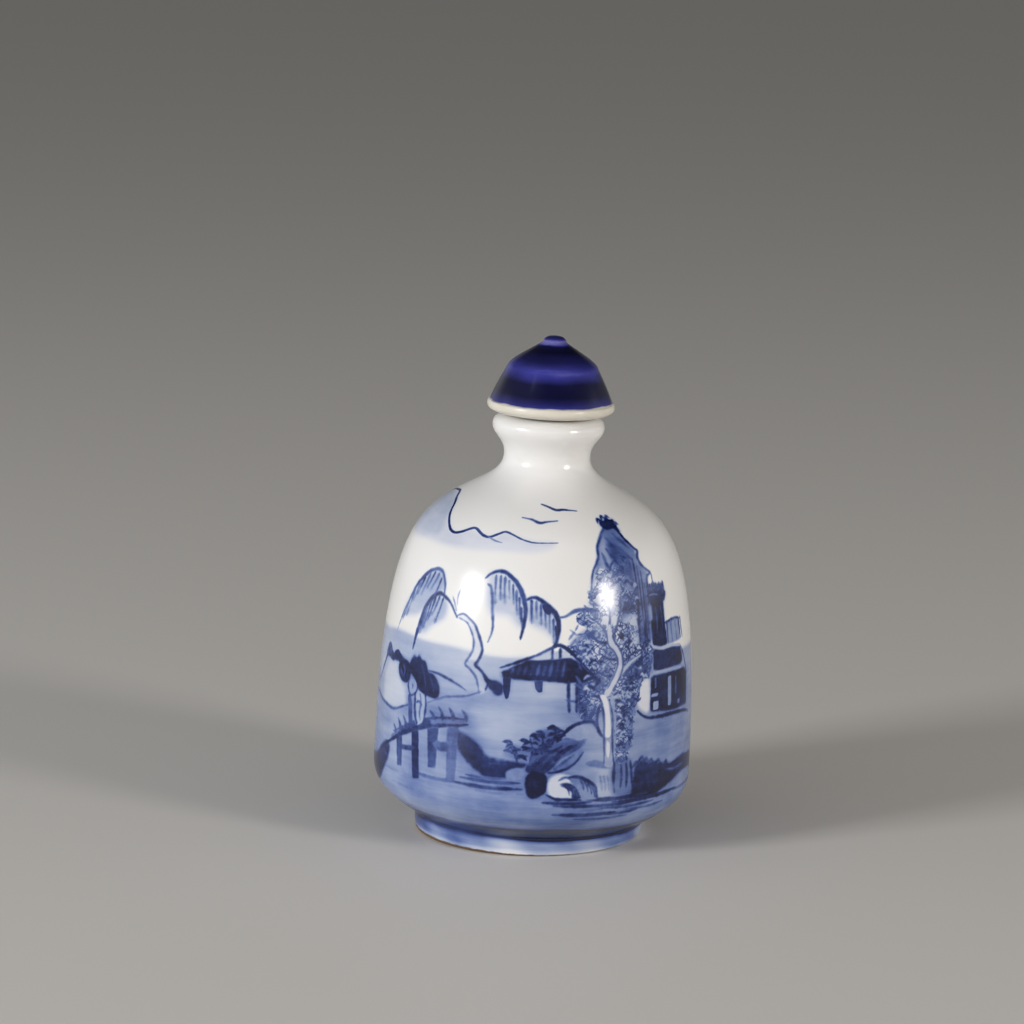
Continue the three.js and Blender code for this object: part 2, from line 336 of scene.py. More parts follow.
class Painter:
    """Holds the marks on the wall's vertices.

    A mark keeps, for each vertex near it, the side offset from its middle line, its half width there and its
    tone. The glaze material turns offset and width back into a crisp edge between the vertices. Marks that
    lie close together go on different layers, and a later mark lies over an earlier one.
    """

    def __init__(self, mesh):
        flat = np.empty(len(mesh.vertices) * 3, np.float32)
        mesh.vertices.foreach_get("co", flat)
        x, y, z = flat.reshape(-1, 3).T.astype(float) / MM
        x = x - foot_x
        across = x * math.cos(LEAN) - z * math.sin(LEAN)
        self.height = x * math.sin(LEAN) + z * math.cos(LEAN)
        self.above_ground = z
        self.turn = np.degrees(np.arctan2(across, -y))
        self.radius = np.hypot(across, y)
        # the wall as a table of radius and run (mm along the outline) by height, from the foot to the lip
        top = int(np.argmax([h for _, h in bottle_points]))
        wall = np.array([point for point in bottle_points[: top + 1] if point[0] > 0])
        wall = wall[np.concatenate([[False], np.diff(wall[:, 1]) > 1e-6])]
        self.wall_radius, self.wall_height = wall.T
        self.wall_run = np.concatenate([[0], np.cumsum(np.hypot(*np.diff(wall, axis=0).T))])
        skin = np.interp(self.height, self.wall_height, self.wall_radius) - WALL / 2
        self.outside = (self.radius > skin) & (self.height > 0.05)
        self.run = np.interp(self.height, self.wall_height, self.wall_run)
        count = len(self.turn)
        self.marks = np.zeros((LAYERS, count, 3), np.float32)
        self.marks[:, :, 1] = -1.0
        self.taken = np.zeros((LAYERS, count), bool)
        self.top = np.full(count, -1)
        self.wash = np.zeros(count)
        self.leaves = np.zeros(count)
        self.random = np.random.default_rng(SEED)

    # -- where things are

    def path(self, points, closed, curved):
        """The points as a fine line, in degrees from the mark's middle and mm of run up the wall."""
        points = np.array(points, float)
        centre = (points[:, 0].min() + points[:, 0].max()) / 2
        line = np.stack([points[:, 0] - centre, np.interp(points[:, 1], self.wall_height, self.wall_run)], 1)
        if closed:
            line = np.concatenate([line, line[:1]])
        if curved and len(line) > 2:
            # a Catmull-Rom curve through the points, six steps from each to the next
            before, after = 2 * line[:1] - line[1:2], 2 * line[-1:] - line[-2:-1]
            if closed:
                before, after = line[-2:-1], line[1:2]
            p = np.concatenate([before, line, after])
            t = np.linspace(0, 1, 7)[:-1, None]
            spans = []
            for a, b, c, d in zip(p, p[1:], p[2:], p[3:]):
                square, cube = 2 * a - 5 * b + 4 * c - d, 3 * b - a - 3 * c + d
                spans.append(0.5 * (2 * b + (c - a) * t + square * t**2 + cube * t**3))
            line = np.concatenate([*spans, line[-1:]])
        return centre, line

    def near(self, centre, line, reach):
        """The outside vertices within reach of the line, and their degrees from its middle."""
        low, high = line.min(0), line.max(0)
        rel = (self.turn - centre + 180) % 360 - 180
        side = np.degrees(reach / np.maximum(self.radius, 5))
        beside = (rel > low[0] - side) & (rel < high[0] + side)
        level = (self.run > low[1] - reach) & (self.run < high[1] + reach)
        rows = np.nonzero(beside & level & self.outside)[0]
        return rows, rel[rows]

    def measure(self, rows, rel, line):
        """For each vertex: distance to the line, its side, how far along (0 to 1), how far beyond an end."""
        scale = np.radians(self.radius[rows])[:, None]
        ax, ay = line[:-1, 0] * scale, line[:-1, 1]
        ex, ey = np.diff(line[:, 0]) * scale, np.diff(line[:, 1])
        dx, dy = rel[:, None] * scale - ax, self.run[rows][:, None] - ay
        size = np.maximum(ex * ex + ey * ey, 1e-9)
        t = (dx * ex + dy * ey) / size
        tc = np.clip(t, 0, 1)
        gap = np.hypot(dx - tc * ex, dy - tc * ey)
        k = gap.argmin(1)
        pick = np.arange(len(rows)), k
        side = ((ex * dy - ey * dx) / np.sqrt(size))[pick]
        step = np.hypot(ex, ey)
        before = np.cumsum(step, 1) - step
        along = (before[pick] + tc[pick] * step[pick]) / step.sum(1)
        last = step.shape[1] - 1
        beyond = np.where((k == last) & (t[pick] > 1), t[pick] - 1, 0)
        beyond = np.where((k == 0) & (t[pick] < 0), -t[pick], beyond)
        return gap[pick], side, along, beyond * step[pick]

    def inside(self, rows, rel, line):
        """Which vertices lie inside the closed line."""
        x, y = rel[:, None], self.run[rows][:, None]
        x0, y0, x1, y1 = line[:-1, 0], line[:-1, 1], line[1:, 0], line[1:, 1]
        crosses = (y0 > y) != (y1 > y)
        rise = np.where(y1 == y0, 1e-9, y1 - y0)
        return (crosses & (x < x0 + (y - y0) * (x1 - x0) / rise)).sum(1) % 2 == 1

    # -- marks

    def place(self, rows, offset, half, tone, over=True):
        """Puts a mark on the lowest layer that is free there and, if over, above everything it covers."""
        reach = np.abs(offset) - half
        spread = 1 + 0.7 * (np.abs(self.turn[rows]) > 100)  # wider behind, as the columns are
        mine = reach < CLAIM * spread
        if not mine.any():
            return
        core = rows[reach < 0.1]
        layer = int(self.top[core].max()) + 1 if over and len(core) else 0
        claimed = rows[mine]
        while layer < LAYERS - 1 and self.taken[layer, claimed].any():
            layer += 1
        layer = min(layer, LAYERS - 1)
        tones = np.broadcast_to(tone, rows.shape)
        self.marks[layer, claimed] = np.stack([offset[mine], half[mine], tones[mine]], 1)
        self.taken[layer, rows[reach < (CLAIM + GUARD) * spread]] = True
        self.top[core] = np.maximum(self.top[core], layer)

    def stroke(self, points, width=0.34, tone=0.8, press=BRUSH, soft=0.4, curved=True, over=True):
        """One pull of a pointed brush: width in mm where it presses fully, and how soft its sides are."""
        centre, line = self.path(points, False, curved)
        rows, rel = self.near(centre, line, width / 2 + REACH)
        if not len(rows):
            return
        gap, side, along, beyond = self.measure(rows, rel, line)
        half = width / 2 * np.interp(along, np.linspace(0, 1, len(press)), press)
        ink = tone * np.interp(along, np.linspace(0, 1, 5), self.random.uniform(0.86, 1.08, 5))
        offset = np.where(beyond > 0, side, np.sign(side) * gap)
        soft = np.atleast_1d(soft)
        firm = EDGE / np.interp(along, np.linspace(0, 1, len(soft)), soft)
        self.place(rows, offset * firm, (half - beyond) * firm, ink, over)

    def patch(self, points, tone=0.8, soft=0.5, curved=True, fade=0.0):
        """A filled shape, whose tone may fade by a share from foot to head. Dark ones bleed into the wash."""
        if tone > DARK:
            self.tint(points, tone * BLEED, 1.3, curved)
        centre, line = self.path(points, True, curved)
        rows, rel = self.near(centre, line, REACH)
        if not len(rows):
            return
        gap = self.measure(rows, rel, line)[0]
        depth = np.where(self.inside(rows, rel, line), gap, -gap) * EDGE / soft
        rise = np.clip((self.run[rows] - line[:, 1].min()) / np.ptp(line[:, 1]), 0, 1)
        self.place(rows, np.zeros(len(rows)), depth, tone * (1 - fade * rise))

    def tint(self, points, tone, soft=1.0, curved=True, into="wash"):
        """A soft wash inside a shape, laid straight into the wash or the leaves."""
        centre, line = self.path(points, True, curved)
        rows, rel = self.near(centre, line, soft * 1.5)
        gap = self.measure(rows, rel, line)[0]
        depth = np.where(self.inside(rows, rel, line), gap, -gap)
        cover = smoothstep(-soft / 2, soft / 2, depth)
        field = getattr(self, into)
        field[rows] += (tone - field[rows]) * cover * self.outside[rows]

    def hatch(self, starts, fall, drift, width=0.3, tone=0.6):
        """Short falling strokes, each from a start point, that get thinner as they fall."""
        for turn, height in starts:
            drop = fall * self.random.uniform(0.75, 1.25)
            points = [(turn, height), (turn + drift * 0.4, height - drop / 2), (turn + drift, height - drop)]
            dark = tone * self.random.uniform(0.8, 1.1)
            wide = width * self.random.uniform(0.7, 1.1)
            self.stroke(points, wide, dark, press=(1.1, 0.9, 0.7, 0.4), soft=(0.26, 0.34, 0.55, 1.0))

    def store(self, mesh):
        """Writes the marks, washes, unrolled wall and bare clay as the attributes that the glaze reads."""
        for i in range(LAYERS):
            field = mesh.attributes.new(f"mark {i}", "FLOAT_VECTOR", "POINT")
            field.data.foreach_set("vector", self.marks[i].ravel())
        wall = np.stack([np.radians(self.turn) * UNROLL_RADIUS, self.run, 0 * self.run], 1).astype(np.float32)
        mesh.attributes.new("wall", "FLOAT_VECTOR", "POINT").data.foreach_set("vector", wall.ravel())
        clay = np.maximum(CLAY_UP_THE_WALL - self.height, CLAY_ABOVE_GROUND - self.above_ground)
        bare = np.where(self.radius > CLAY_INSIDE, clay, -1.0)
        for name, values in (("wash", self.wash), ("leaves", self.leaves), ("bare", bare)):
            field = mesh.attributes.new(name, "FLOAT", "POINT")
            field.data.foreach_set("value", values.astype(np.float32))


def paint_washes(painter):
    """Thin cobalt: mist over the far ridge, the land and the water, and cobalt gathered dark round the foot.

    The washes grow darker towards the bottom and the right, partly as painted shade.
    """
    turn, h = painter.turn, painter.height
    angle = np.radians(turn)
    edge = 31.3 + 0.7 * np.cos(angle + 0.7) + 0.25 * np.sin(5 * angle) + 0.15 * np.sin(11 * angle + 1)
    # the ground's wash grows denser downwards and a little to the right: partly the painting, partly painted
    # shade where less light reaches the lower and right side of the wall
    ground = 0.32 + 0.17 * smoothstep(30, 22, h) + 0.02 * smoothstep(14, 8, h)
    ground += 0.03 * np.sin(3 * angle + h / 6) + 0.02 * np.sin(9 * angle - h / 3) + 0.02 * np.sin(angle)
    painter.wash = ground * smoothstep(edge + 0.5, edge - 0.5, h)
    # the foot: a dark band at the join, partly cobalt gathered in the glaze and partly painted shade and
    # painted dark reflection under the overhanging belly, darker to the right; and pale blue mottling on the
    # ring below it
    pool_and_shade = smoothstep(5.6, 4.5, h) * smoothstep(2.1, 2.8, h)
    pooled_and_shaded = 0.66 + 0.1 * np.sin(4 * angle + 0.5) + 0.06 * np.sin(13 * angle)
    painter.wash += pool_and_shade * (pooled_and_shaded - 0.06 * np.cos(angle) + 0.14 * np.sin(angle))
    ring = smoothstep(2.8, 2.2, h)
    mottled = 0.47 + 0.1 * np.sin(3 * angle - 1.4) + 0.07 * np.sin(8 * angle) + 0.05 * np.sin(17 * angle + h)
    mottled -= 0.09 * np.sin(angle)
    mottled += 0.2 * smoothstep(1.9, 2.5, h) - 0.24 * smoothstep(1.2, 0.4, h)
    painter.wash += ring * (mottled - painter.wash)
    painter.wash *= painter.outside
    painter.tint([(-22, 24), (-8, 24.6), (8, 24), (12, 21), (4, 20.2), (-8, 18.5), (-20, 20)], 0.37, 2.5)
    painter.tint([(-80, 24.5), (-68, 28.2), (-60, 27.5), (-54, 24), (-57, 21), (-70, 21)], 0.3, 2.0)


def far_ridge(painter):
    """A far ridge under the shoulder, in one wandering line with mist hanging below it, and birds."""
    painter.tint(
        [(-100, 51), (-88, 52), (-75, 51.8), (-65, 51), (-55, 49), (-46, 47.8), (-38, 48.6), (-26, 48),
         (-19, 48.8), (-8, 48.2), (5, 48), (0, 46.8), (-20, 46.4), (-40, 46), (-60, 46), (-85, 46)],
        0.16, 1.4,
    )
    painter.tint(
        [(-100, 51), (-88, 52), (-75, 51.8), (-65, 51), (-58, 49), (-56, 47), (-70, 46.4), (-95, 46.4)],
        0.26, 1.8,
    )
    line = [
        (-112, 50.6), (-104, 51), (-96, 51.8), (-88, 52.1), (-80, 52.2), (-70, 51.5), (-65, 51), (-60, 50),
        (-55, 49), (-50, 48.1), (-46, 47.8), (-42, 48.1), (-38, 48.7), (-35, 48.85), (-30, 48.2),
        (-26, 48.05), (-22, 48.6), (-19, 48.95), (-15, 48.7), (-10, 48.2), (-5, 47.9), (0, 47.9), (7, 48),
    ]
    painter.stroke(line, 0.44, 0.84, press=(0.5, 1, 1, 0.9, 1, 1, 0.7, 0.25), soft=0.2)
    painter.stroke([(-27, 48.1), (-23, 47.7), (-19, 47.5)], 0.3, 0.5, soft=0.2)
    painter.stroke(
        [(-12.5, 50.9), (-7, 50.75), (-2.5, 50.4), (1, 50.55), (7.5, 50.75)],
        0.46, 0.86, press=(0.4, 0.8, 1.2, 0.6, 0.25),
    )
    painter.stroke(
        [(-2.5, 52.6), (2, 52.35), (7, 52.0), (12, 52.05), (20.5, 51.9)],
        0.46, 0.86, press=(0.4, 0.8, 1.2, 0.7, 0.3),
    )


def hills(painter):
    """Round hills in bold outlines, with falling hatch strokes and a wash that fades to white below."""
    for shape, tone, soft in (
        ([(-63, 35), (-58, 38.8), (-53, 41.2), (-47, 42.4), (-43, 42), (-41, 40), (-44, 38.5), (-50, 36),
          (-56, 35)], 0.34, 1.6),
        ([(-51, 33), (-50, 35), (-46, 38), (-42, 39), (-38, 38.2), (-38, 36), (-43, 34.5), (-47, 33)],
         0.32, 1.6),
        ([(-22, 42.6), (-18, 43.5), (-13, 43.2), (-8, 41.2), (-5.8, 38), (-7, 36), (-12, 37.5), (-20, 38)],
         0.24, 1.8),
        ([(-5.5, 40), (-1, 40.2), (4, 39), (7, 37), (6.6, 34.6), (2, 35.6), (-4, 37)], 0.28, 1.6),
    ):
        painter.tint(shape, tone, soft)
    # outlines
    painter.stroke(
        [(-65.5, 32), (-63.5, 34.2), (-62, 35.5), (-60, 37), (-58, 38.8), (-56, 40), (-53, 41.3),
         (-50, 42.1), (-47, 42.5), (-44, 42.3), (-42.5, 41.7), (-41, 40.6), (-40.3, 39.2)],
        0.5, 0.74, press=(0.25, 0.6, 1, 1.3, 1, 0.7),
    )
    painter.stroke(
        [(-52.6, 30.2), (-52, 31.7), (-51.3, 33), (-50, 35), (-48.5, 37), (-46.5, 38.2), (-44, 39),
         (-42, 39.2), (-39, 38.8), (-36, 38), (-34, 37), (-32.5, 36.3)],
        0.55, 0.8, press=(0.4, 1.3, 1.4, 1.2, 0.8, 0.5),
    )
    painter.stroke(
        [(-23, 42.5), (-21, 43.2), (-18, 43.65), (-15, 43.6), (-12, 43), (-9.5, 42.2), (-7.5, 41),
         (-6, 39.5), (-5.5, 38), (-5.8, 36.5), (-6.7, 34.4)],
        0.55, 0.86, press=(0.5, 1, 1.1, 1.4, 1.2, 1, 0.6),
    )
    painter.stroke(
        [(-21.5, 41.7), (-20, 41.3), (-19, 40), (-18.3, 38), (-17.6, 36.3), (-17.6, 35), (-18.9, 33.4)],
        0.45, 0.72, press=(0.8, 1, 1, 0.7, 0.4),
    )
    painter.stroke(
        [(-5.5, 40), (-3, 40.4), (-1, 40.3), (2, 39.6), (4.5, 38.8), (6.5, 37.8), (7.3, 36.5), (7, 35),
         (6.2, 33.7)],
        0.55, 0.88, press=(0.6, 1, 1.2, 1.5, 1.3, 1, 0.7),
    )
    painter.stroke(
        [(7.4, 37.7), (10, 37.9), (13, 38.6), (17, 38.9), (20, 38.8), (23, 38.6)],
        0.55, 0.72, press=(0.5, 0.9, 1.2, 0.8, 0.4),
    )
    # hatching that hangs from the outlines
    painter.hatch(
        [(-60, 36.9), (-57.6, 38.7), (-55.2, 40), (-53, 40.9), (-50.4, 41.6), (-47.8, 42), (-45.4, 41.9),
         (-43.4, 41.3)],
        3.2, -2.6, 0.4, 0.7,
    )
    painter.hatch(
        [(-49, 35.6), (-47.8, 36.8), (-46.2, 37.9), (-44.4, 38.5), (-42.4, 38.7), (-40.4, 38.6)],
        3.4, -2.2, 0.42, 0.74,
    )
    painter.hatch(
        [(-18.6, 43), (-16.6, 43), (-14.8, 42.9), (-13, 42.5), (-11.2, 42), (-9.6, 41.2), (-8.2, 40.2),
         (-7.3, 38.8)],
        3.2, 1.0, 0.42, 0.74,
    )
    painter.hatch(
        [(-3.4, 39.9), (-1.6, 39.8), (0.2, 39.5), (2, 38.9), (3.6, 38.3), (5.2, 37.4), (6.2, 36.4)],
        2.8, 0.5, 0.45, 0.8,
    )
    painter.patch([(0.5, 39.6), (2.5, 39.4), (4.4, 38.7), (3.6, 38.0), (1.8, 38.4)], 0.88, 0.2)
    painter.stroke([(-36, 39.2), (-34.5, 38.2), (-33.2, 37.2)], 0.25, 0.5)
    painter.stroke([(-33, 40.4), (-33.6, 39.2), (-33.2, 38)], 0.22, 0.45)


def winding_path(painter):
    """A white path that comes down from the hills between two lines, to the shore."""
    right = [
        (-32.5, 36.6), (-30, 37), (-27, 36.4), (-24.5, 35.6), (-22.5, 34.2), (-21, 32.8), (-20.8, 31.8),
        (-22, 30.5), (-23, 29.9), (-21, 29.3), (-19, 28.5), (-17.5, 27.5), (-18.3, 26.4),
    ]
    left = [
        (-31.5, 36.3), (-28, 35.8), (-26, 34.8), (-24.5, 33.5), (-24.3, 32.2), (-25.5, 31), (-27, 29.8),
        (-25, 29.2), (-22.5, 28.2), (-21.3, 27), (-20.6, 25.8),
    ]
    painter.tint(right + left[::-1], 0.16, 0.5)
    painter.tint(
        [(-27, 30.2), (-22, 30.4), (-18, 28.4), (-18, 26.4), (-20.6, 25.8), (-21.4, 27.4), (-25, 29)],
        0.3, 0.6,
    )
    painter.stroke(right, 0.4, 0.76, press=(0.4, 0.8, 1, 1.1, 1, 1.2, 1.1, 0.7))
    painter.stroke(left, 0.36, 0.66, press=(0.4, 0.8, 1, 1, 1, 0.8))
    painter.patch(
        [(-19.6, 28.7), (-17, 28), (-14, 27.9), (-12, 27.4), (-12.2, 26), (-14.4, 25.8), (-16.6, 26.6),
         (-18.4, 27.6)],
        0.86, 0.5,
    )
    painter.stroke([(-42.5, 27.7), (-38, 27.6), (-34, 27.2), (-30, 26.7), (-25.5, 25.9)], 0.42, 0.76)
    painter.stroke([(-42, 22.9), (-38, 23.7), (-34, 24.4), (-28, 24.9), (-24, 25.3), (-20, 26.1)], 0.34, 0.68)


def pavilion(painter):
    """An open waterside pavilion: a broad dark roof with a raised lantern, on square posts."""
    painter.patch(
        [(-12.6, 29.3), (-8, 30.3), (-3, 31.4), (3, 31.6), (12, 31.9), (16.5, 30.8), (19.6, 29.5),
         (18, 28.4), (11, 28.2), (3, 28.4), (-5, 28.4), (-12, 28.5)],
        0.94, curved=False,
    )
    for k in range(9):
        turn = -8.4 + 2.3 * k
        painter.stroke(
            [(turn, 30.2 + 0.16 * k), (turn - 0.8, 29.2)],
            0.5, 0.84 if k % 2 else 0.78, press=(0.5, 1, 0.6), soft=0.6,
        )
    painter.patch([(-3, 31.45), (1, 32.3), (5, 33), (5, 31.7), (0, 31.4)], 0.24, curved=False)
    painter.patch([(8.6, 31.9), (8.6, 33), (10.2, 33), (12.6, 32)], 0.24, curved=False)
    painter.patch([(5.6, 31.6), (5.6, 32.9), (7.6, 32.9), (7.6, 31.7)], 0.3, curved=False)
    painter.stroke(
        [(-13.5, 29.9), (-8, 30.8), (-4, 31.5), (0, 32.2), (4, 33.1), (6.4, 33.5)],
        0.42, 0.86, press=(0.5, 1, 0.9, 1.2), curved=False,
    )
    painter.stroke(
        [(5.8, 33.6), (8, 33.7), (10, 33.4), (13, 32.4), (16, 31.3), (18.5, 30.2), (20, 29.7)],
        0.5, 0.88, press=(1, 1.2, 0.9, 0.7), curved=False,
    )
    painter.stroke([(5.3, 33.1), (5.3, 31.6)], 0.42, 0.86, press=(1, 1))
    painter.stroke([(8.1, 33.2), (8.1, 31.8)], 0.45, 0.86, press=(1, 1))
    painter.patch(
        [(-12.2, 28.7), (-9.2, 28.7), (-9.3, 26.6), (-9.8, 25.4), (-10.8, 25.4), (-11.8, 26.8)],
        0.86, 0.18, curved=False,
    )
    painter.patch(
        [(-0.9, 28.5), (2.3, 28.5), (2.2, 26.7), (0.8, 26.7), (-0.3, 27.2)],
        0.82, 0.18, curved=False,
    )
    painter.stroke([(11.6, 28.4), (11.7, 26), (12.2, 24)], 0.5, 0.84, press=(1, 1, 0.9))
    painter.stroke([(14.8, 28.4), (14.8, 26), (14.9, 24)], 0.5, 0.82, press=(1, 1, 0.9))
    painter.stroke([(10.6, 25.7), (13, 25.5), (15.4, 25.6)], 0.34, 0.7)


def crag(painter):
    """The tall crag at the right: blue wash with a dark heart, a tuft of pine on top and jagged sides."""
    painter.tint(
        [(20.5, 42), (21.5, 44), (24, 45.8), (25, 47.2), (28, 48.8), (33, 49.9), (39, 49.8), (41, 48.6),
         (45, 46.9), (45.5, 45.2), (49, 43.4), (47, 41.5), (46.5, 38), (46.5, 33.4), (38, 33), (32, 33.5),
         (30, 40), (24, 40.5)],
        0.56, 0.9,
    )
    painter.tint([(25.5, 44.5), (26, 47.4), (30, 48.6), (31, 46), (30, 43.8)], 0.4, 1.4)
    painter.tint([(20.5, 41), (22, 44), (27, 44.2), (31, 42.8), (30, 39.5), (24, 39.8)], 0.2, 1.6)
    painter.tint([(30.5, 47.6), (36, 47.5), (41, 45.4), (42, 43.8), (38, 43.4), (33, 44.2)], 0.75, 1.2)
    painter.tint([(39, 44), (42, 44), (42, 41.8), (39.5, 41.4)], 0.76, 1.0)
    painter.tint([(33, 37.2), (40, 37.4), (40.5, 33.6), (34, 33.4)], 0.24, 0.9)
    painter.stroke(
        [(20.2, 41.6), (21.4, 44), (24, 45.5), (25, 46.3), (25.2, 47.3), (26.5, 48), (30, 49.2),
         (33, 49.8)],
        0.38, 0.78, press=(0.4, 0.7, 1, 1.1, 1.0, 1.2),
    )
    painter.stroke(
        [(40, 49.2), (42, 48.1), (45, 46.95), (46.6, 46.5), (45.4, 45.8), (46, 44.8), (48, 44),
         (50.6, 43.3), (48.4, 42.9), (47.4, 41.6), (46.8, 39.2), (46.4, 36)],
        0.42, 0.84, press=(1.0, 0.9, 1.2, 0.9, 1.3, 1, 0.7),
    )
    painter.patch(
        [(31, 50.2), (32.6, 50.9), (34.6, 50.6), (37, 51.1), (39, 50.7), (41.6, 50.7), (40.8, 50),
         (41.4, 49.2), (39.4, 49.2), (38, 49.6), (35, 49.5), (33, 49.6)],
        0.86, 0.4,
    )
    for turn, height in ((31.4, 50.9), (34.8, 51.2), (38.6, 51.2), (41.8, 50.3)):
        painter.stroke([(turn - 1.2, height - 0.5), (turn, height), (turn + 1.2, height - 0.3)], 0.5, 0.8)
    painter.tint([(40.6, 44), (46, 44), (46.6, 40), (46.4, 33), (41, 33)], 0.6, 1.0)
    for turn, top, foot in (
        (42.2, 45.6, 40), (43.6, 44.6, 36), (45, 43.8, 34), (46, 42, 34.6), (41.4, 40, 33.6),
        (44.2, 37, 32.8),
    ):
        painter.stroke(
            [(turn, top), (turn - 0.5, (top + foot) / 2), (turn - 0.3, foot)],
            0.36, 0.84, press=(0.5, 1, 0.8, 0.4), soft=0.4,
        )
    for points in (
        [(31, 48.6), (34, 47.4), (38, 46.6), (42, 45.4)],
        [(29.5, 47.2), (32, 46), (35, 45.4), (39, 44.2)],
        [(27, 46.6), (28.4, 45), (31, 44)],
        [(36, 49), (39, 48), (42, 47)],
    ):
        painter.stroke(points, 0.5, 0.76, press=(0.3, 1, 0.8, 0.3), soft=0.6)
    for turn, height in (
        (33.5, 42.6), (37, 42.4), (40, 40.6), (35.5, 40.4), (38.4, 38.6), (34.5, 38.4), (32.5, 45.2),
        (42, 38.9),
    ):
        painter.stroke(
            [(turn - 1.8, height - 0.2), (turn, height + 0.3), (turn + 1.7, height - 0.3)],
            0.36, 0.84,
        )


def tower(painter):
    """A watch tower beside the crag, and a low gatehouse, in dark cobalt."""
    painter.patch(
        [(47.6, 39.6), (56, 39.6), (55.6, 36), (56.6, 32.6), (52, 32.3), (47.6, 32.8), (47.2, 36)],
        0.96, curved=False,
    )
    painter.patch(
        [(47, 41.3), (52, 41.5), (57.6, 41.2), (58.6, 39.9), (57, 39), (52, 38.9), (47.2, 39.1)],
        0.88, 0.5, curved=False,
    )
    for k in range(9):
        turn, rise = 47.4 + 1.25 * k, painter.random.uniform(0.0, 0.9)
        painter.stroke([(turn, 40.8), (turn + 0.3, 41.3 + 0.6 * rise)], 0.6, 0.82, press=(1, 0.8))
        painter.stroke([(turn - 0.9, 39.5 + rise), (turn + 1.1, 39.6 + rise)], 0.4, 0.95, press=(0.7, 1, 0.7))
    painter.stroke([(47.6, 40.1), (50.4, 40.2), (53, 40)], 0.26, 0.56, press=(0.5, 1, 0.5))
    painter.patch([(46.2, 38.8), (48.4, 38.7), (48.4, 36.6), (46.4, 36.4)], 0.5, 0.4, curved=False)
    for turn in (50.6, 53.8):
        painter.stroke([(turn, 38.4), (turn + 0.2, 36.4), (turn - 0.1, 34.4)], 0.3, 0.76, press=(0.5, 1, 0.4))
    painter.stroke([(51, 41.4), (51.2, 43.2)], 0.4, 0.8, press=(1, 0.4))
    painter.patch([(56.4, 35.8), (67, 35.9), (67.8, 32.6), (56.6, 32.4)], 0.46, 0.5, curved=False)
    painter.stroke([(55.8, 35.7), (60, 35.95), (65, 35.95), (68.4, 35.6)], 0.46, 0.86)
    for turn, lean, tone in (
        (57, 0.2, 0.8), (60, 0.3, 0.62), (63.4, 0.6, 0.6), (66.8, 1.0, 0.84), (68.6, 0.8, 0.7),
    ):
        painter.stroke(
            [(turn, 35.8), (turn + lean * 0.3, 34.2), (turn + lean, 32.8)],
            0.4, tone, press=(1, 1, 0.6),
        )


def house(painter):
    """A dark timber house with a pale eave, lit windows and a plinth line, running on round to the right."""
    painter.patch(
        [(47.6, 32.3), (53, 31.9), (60, 31.95), (67, 31.5), (68.4, 29.4), (66.6, 28.95), (60, 28.95),
         (50, 28.9), (47.6, 29.2)],
        0.92, curved=False,
    )
    painter.stroke(
        [(45.5, 33.2), (49, 32.5), (53, 32.15), (60, 32.15), (67, 31.75)],
        0.42, 0.3, press=(0.5, 1, 1, 0.9, 0.7),
    )
    painter.patch(
        [(47.6, 28.3), (55, 28.3), (70, 28.1), (72.6, 27), (72.4, 22.4), (60, 22.4), (48, 22.9),
         (45.8, 23.1), (46.2, 28)],
        0.93, curved=False,
    )
    painter.stroke([(49.4, 28.75), (55, 28.65), (60, 28.6), (67, 28.4)], 0.42, 0.36, press=(0.7, 1, 1, 0.6))
    for left, low, right, high, tone in (
        (56.2, 23.2, 58.6, 27.7, 0.46), (61.4, 24.6, 62.8, 27.4, 0.72), (47.4, 23.1, 50.4, 24.4, 0.38),
        (46.2, 25.1, 50.2, 25.6, 0.44), (46.2, 28.6, 47.4, 29.6, 0.46), (63.4, 23, 65.6, 23.7, 0.6),
        (48.2, 26.3, 49.2, 28, 0.66),
    ):
        painter.patch([(left, low), (right, low), (right, high), (left, high)], tone, 0.2, curved=False)
    painter.stroke([(67, 31.6), (69, 30.6), (70.6, 29.3), (72, 28), (73, 26.8)], 0.36, 0.84)
    painter.stroke(
        [(39.5, 23.4), (42, 22.6), (45, 22.1), (50, 21.95), (60, 21.9), (70, 21.5), (76, 20.9)],
        0.5, 0.9, press=(0.5, 1, 1.2, 1, 0.7),
    )
    painter.tint([(40.5, 27.6), (45, 28), (45.2, 23.2), (41, 23.6), (39, 25)], 0.13, 0.8)


def sprigs(painter, edge):
    """Short crooked strokes along the edge of a clump of leaves, so that it ends in single leaves."""
    for start, end in zip(np.array(edge, float), np.array(edge[1:], float)):
        length = math.hypot((end[0] - start[0]) * MM_PER_DEGREE, end[1] - start[1])
        for share in np.arange(0.1, 1.0, 1.0 / max(length, 1.0)):
            at = start + share * (end - start) + painter.random.uniform(-0.5, 0.5, 2)
            lean = painter.random.choice((-1, 1)) * painter.random.uniform(0.3, 1.1)
            half = np.array((math.cos(lean) / MM_PER_DEGREE, math.sin(lean)))
            half *= painter.random.uniform(0.45, 0.8)
            bow = (0.0, painter.random.uniform(-0.25, 0.25))
            tone = painter.random.uniform(0.58, 0.86)
            painter.stroke(
                [at - half, at + bow, at + half],
                painter.random.uniform(0.28, 0.42), tone, over=False,
            )


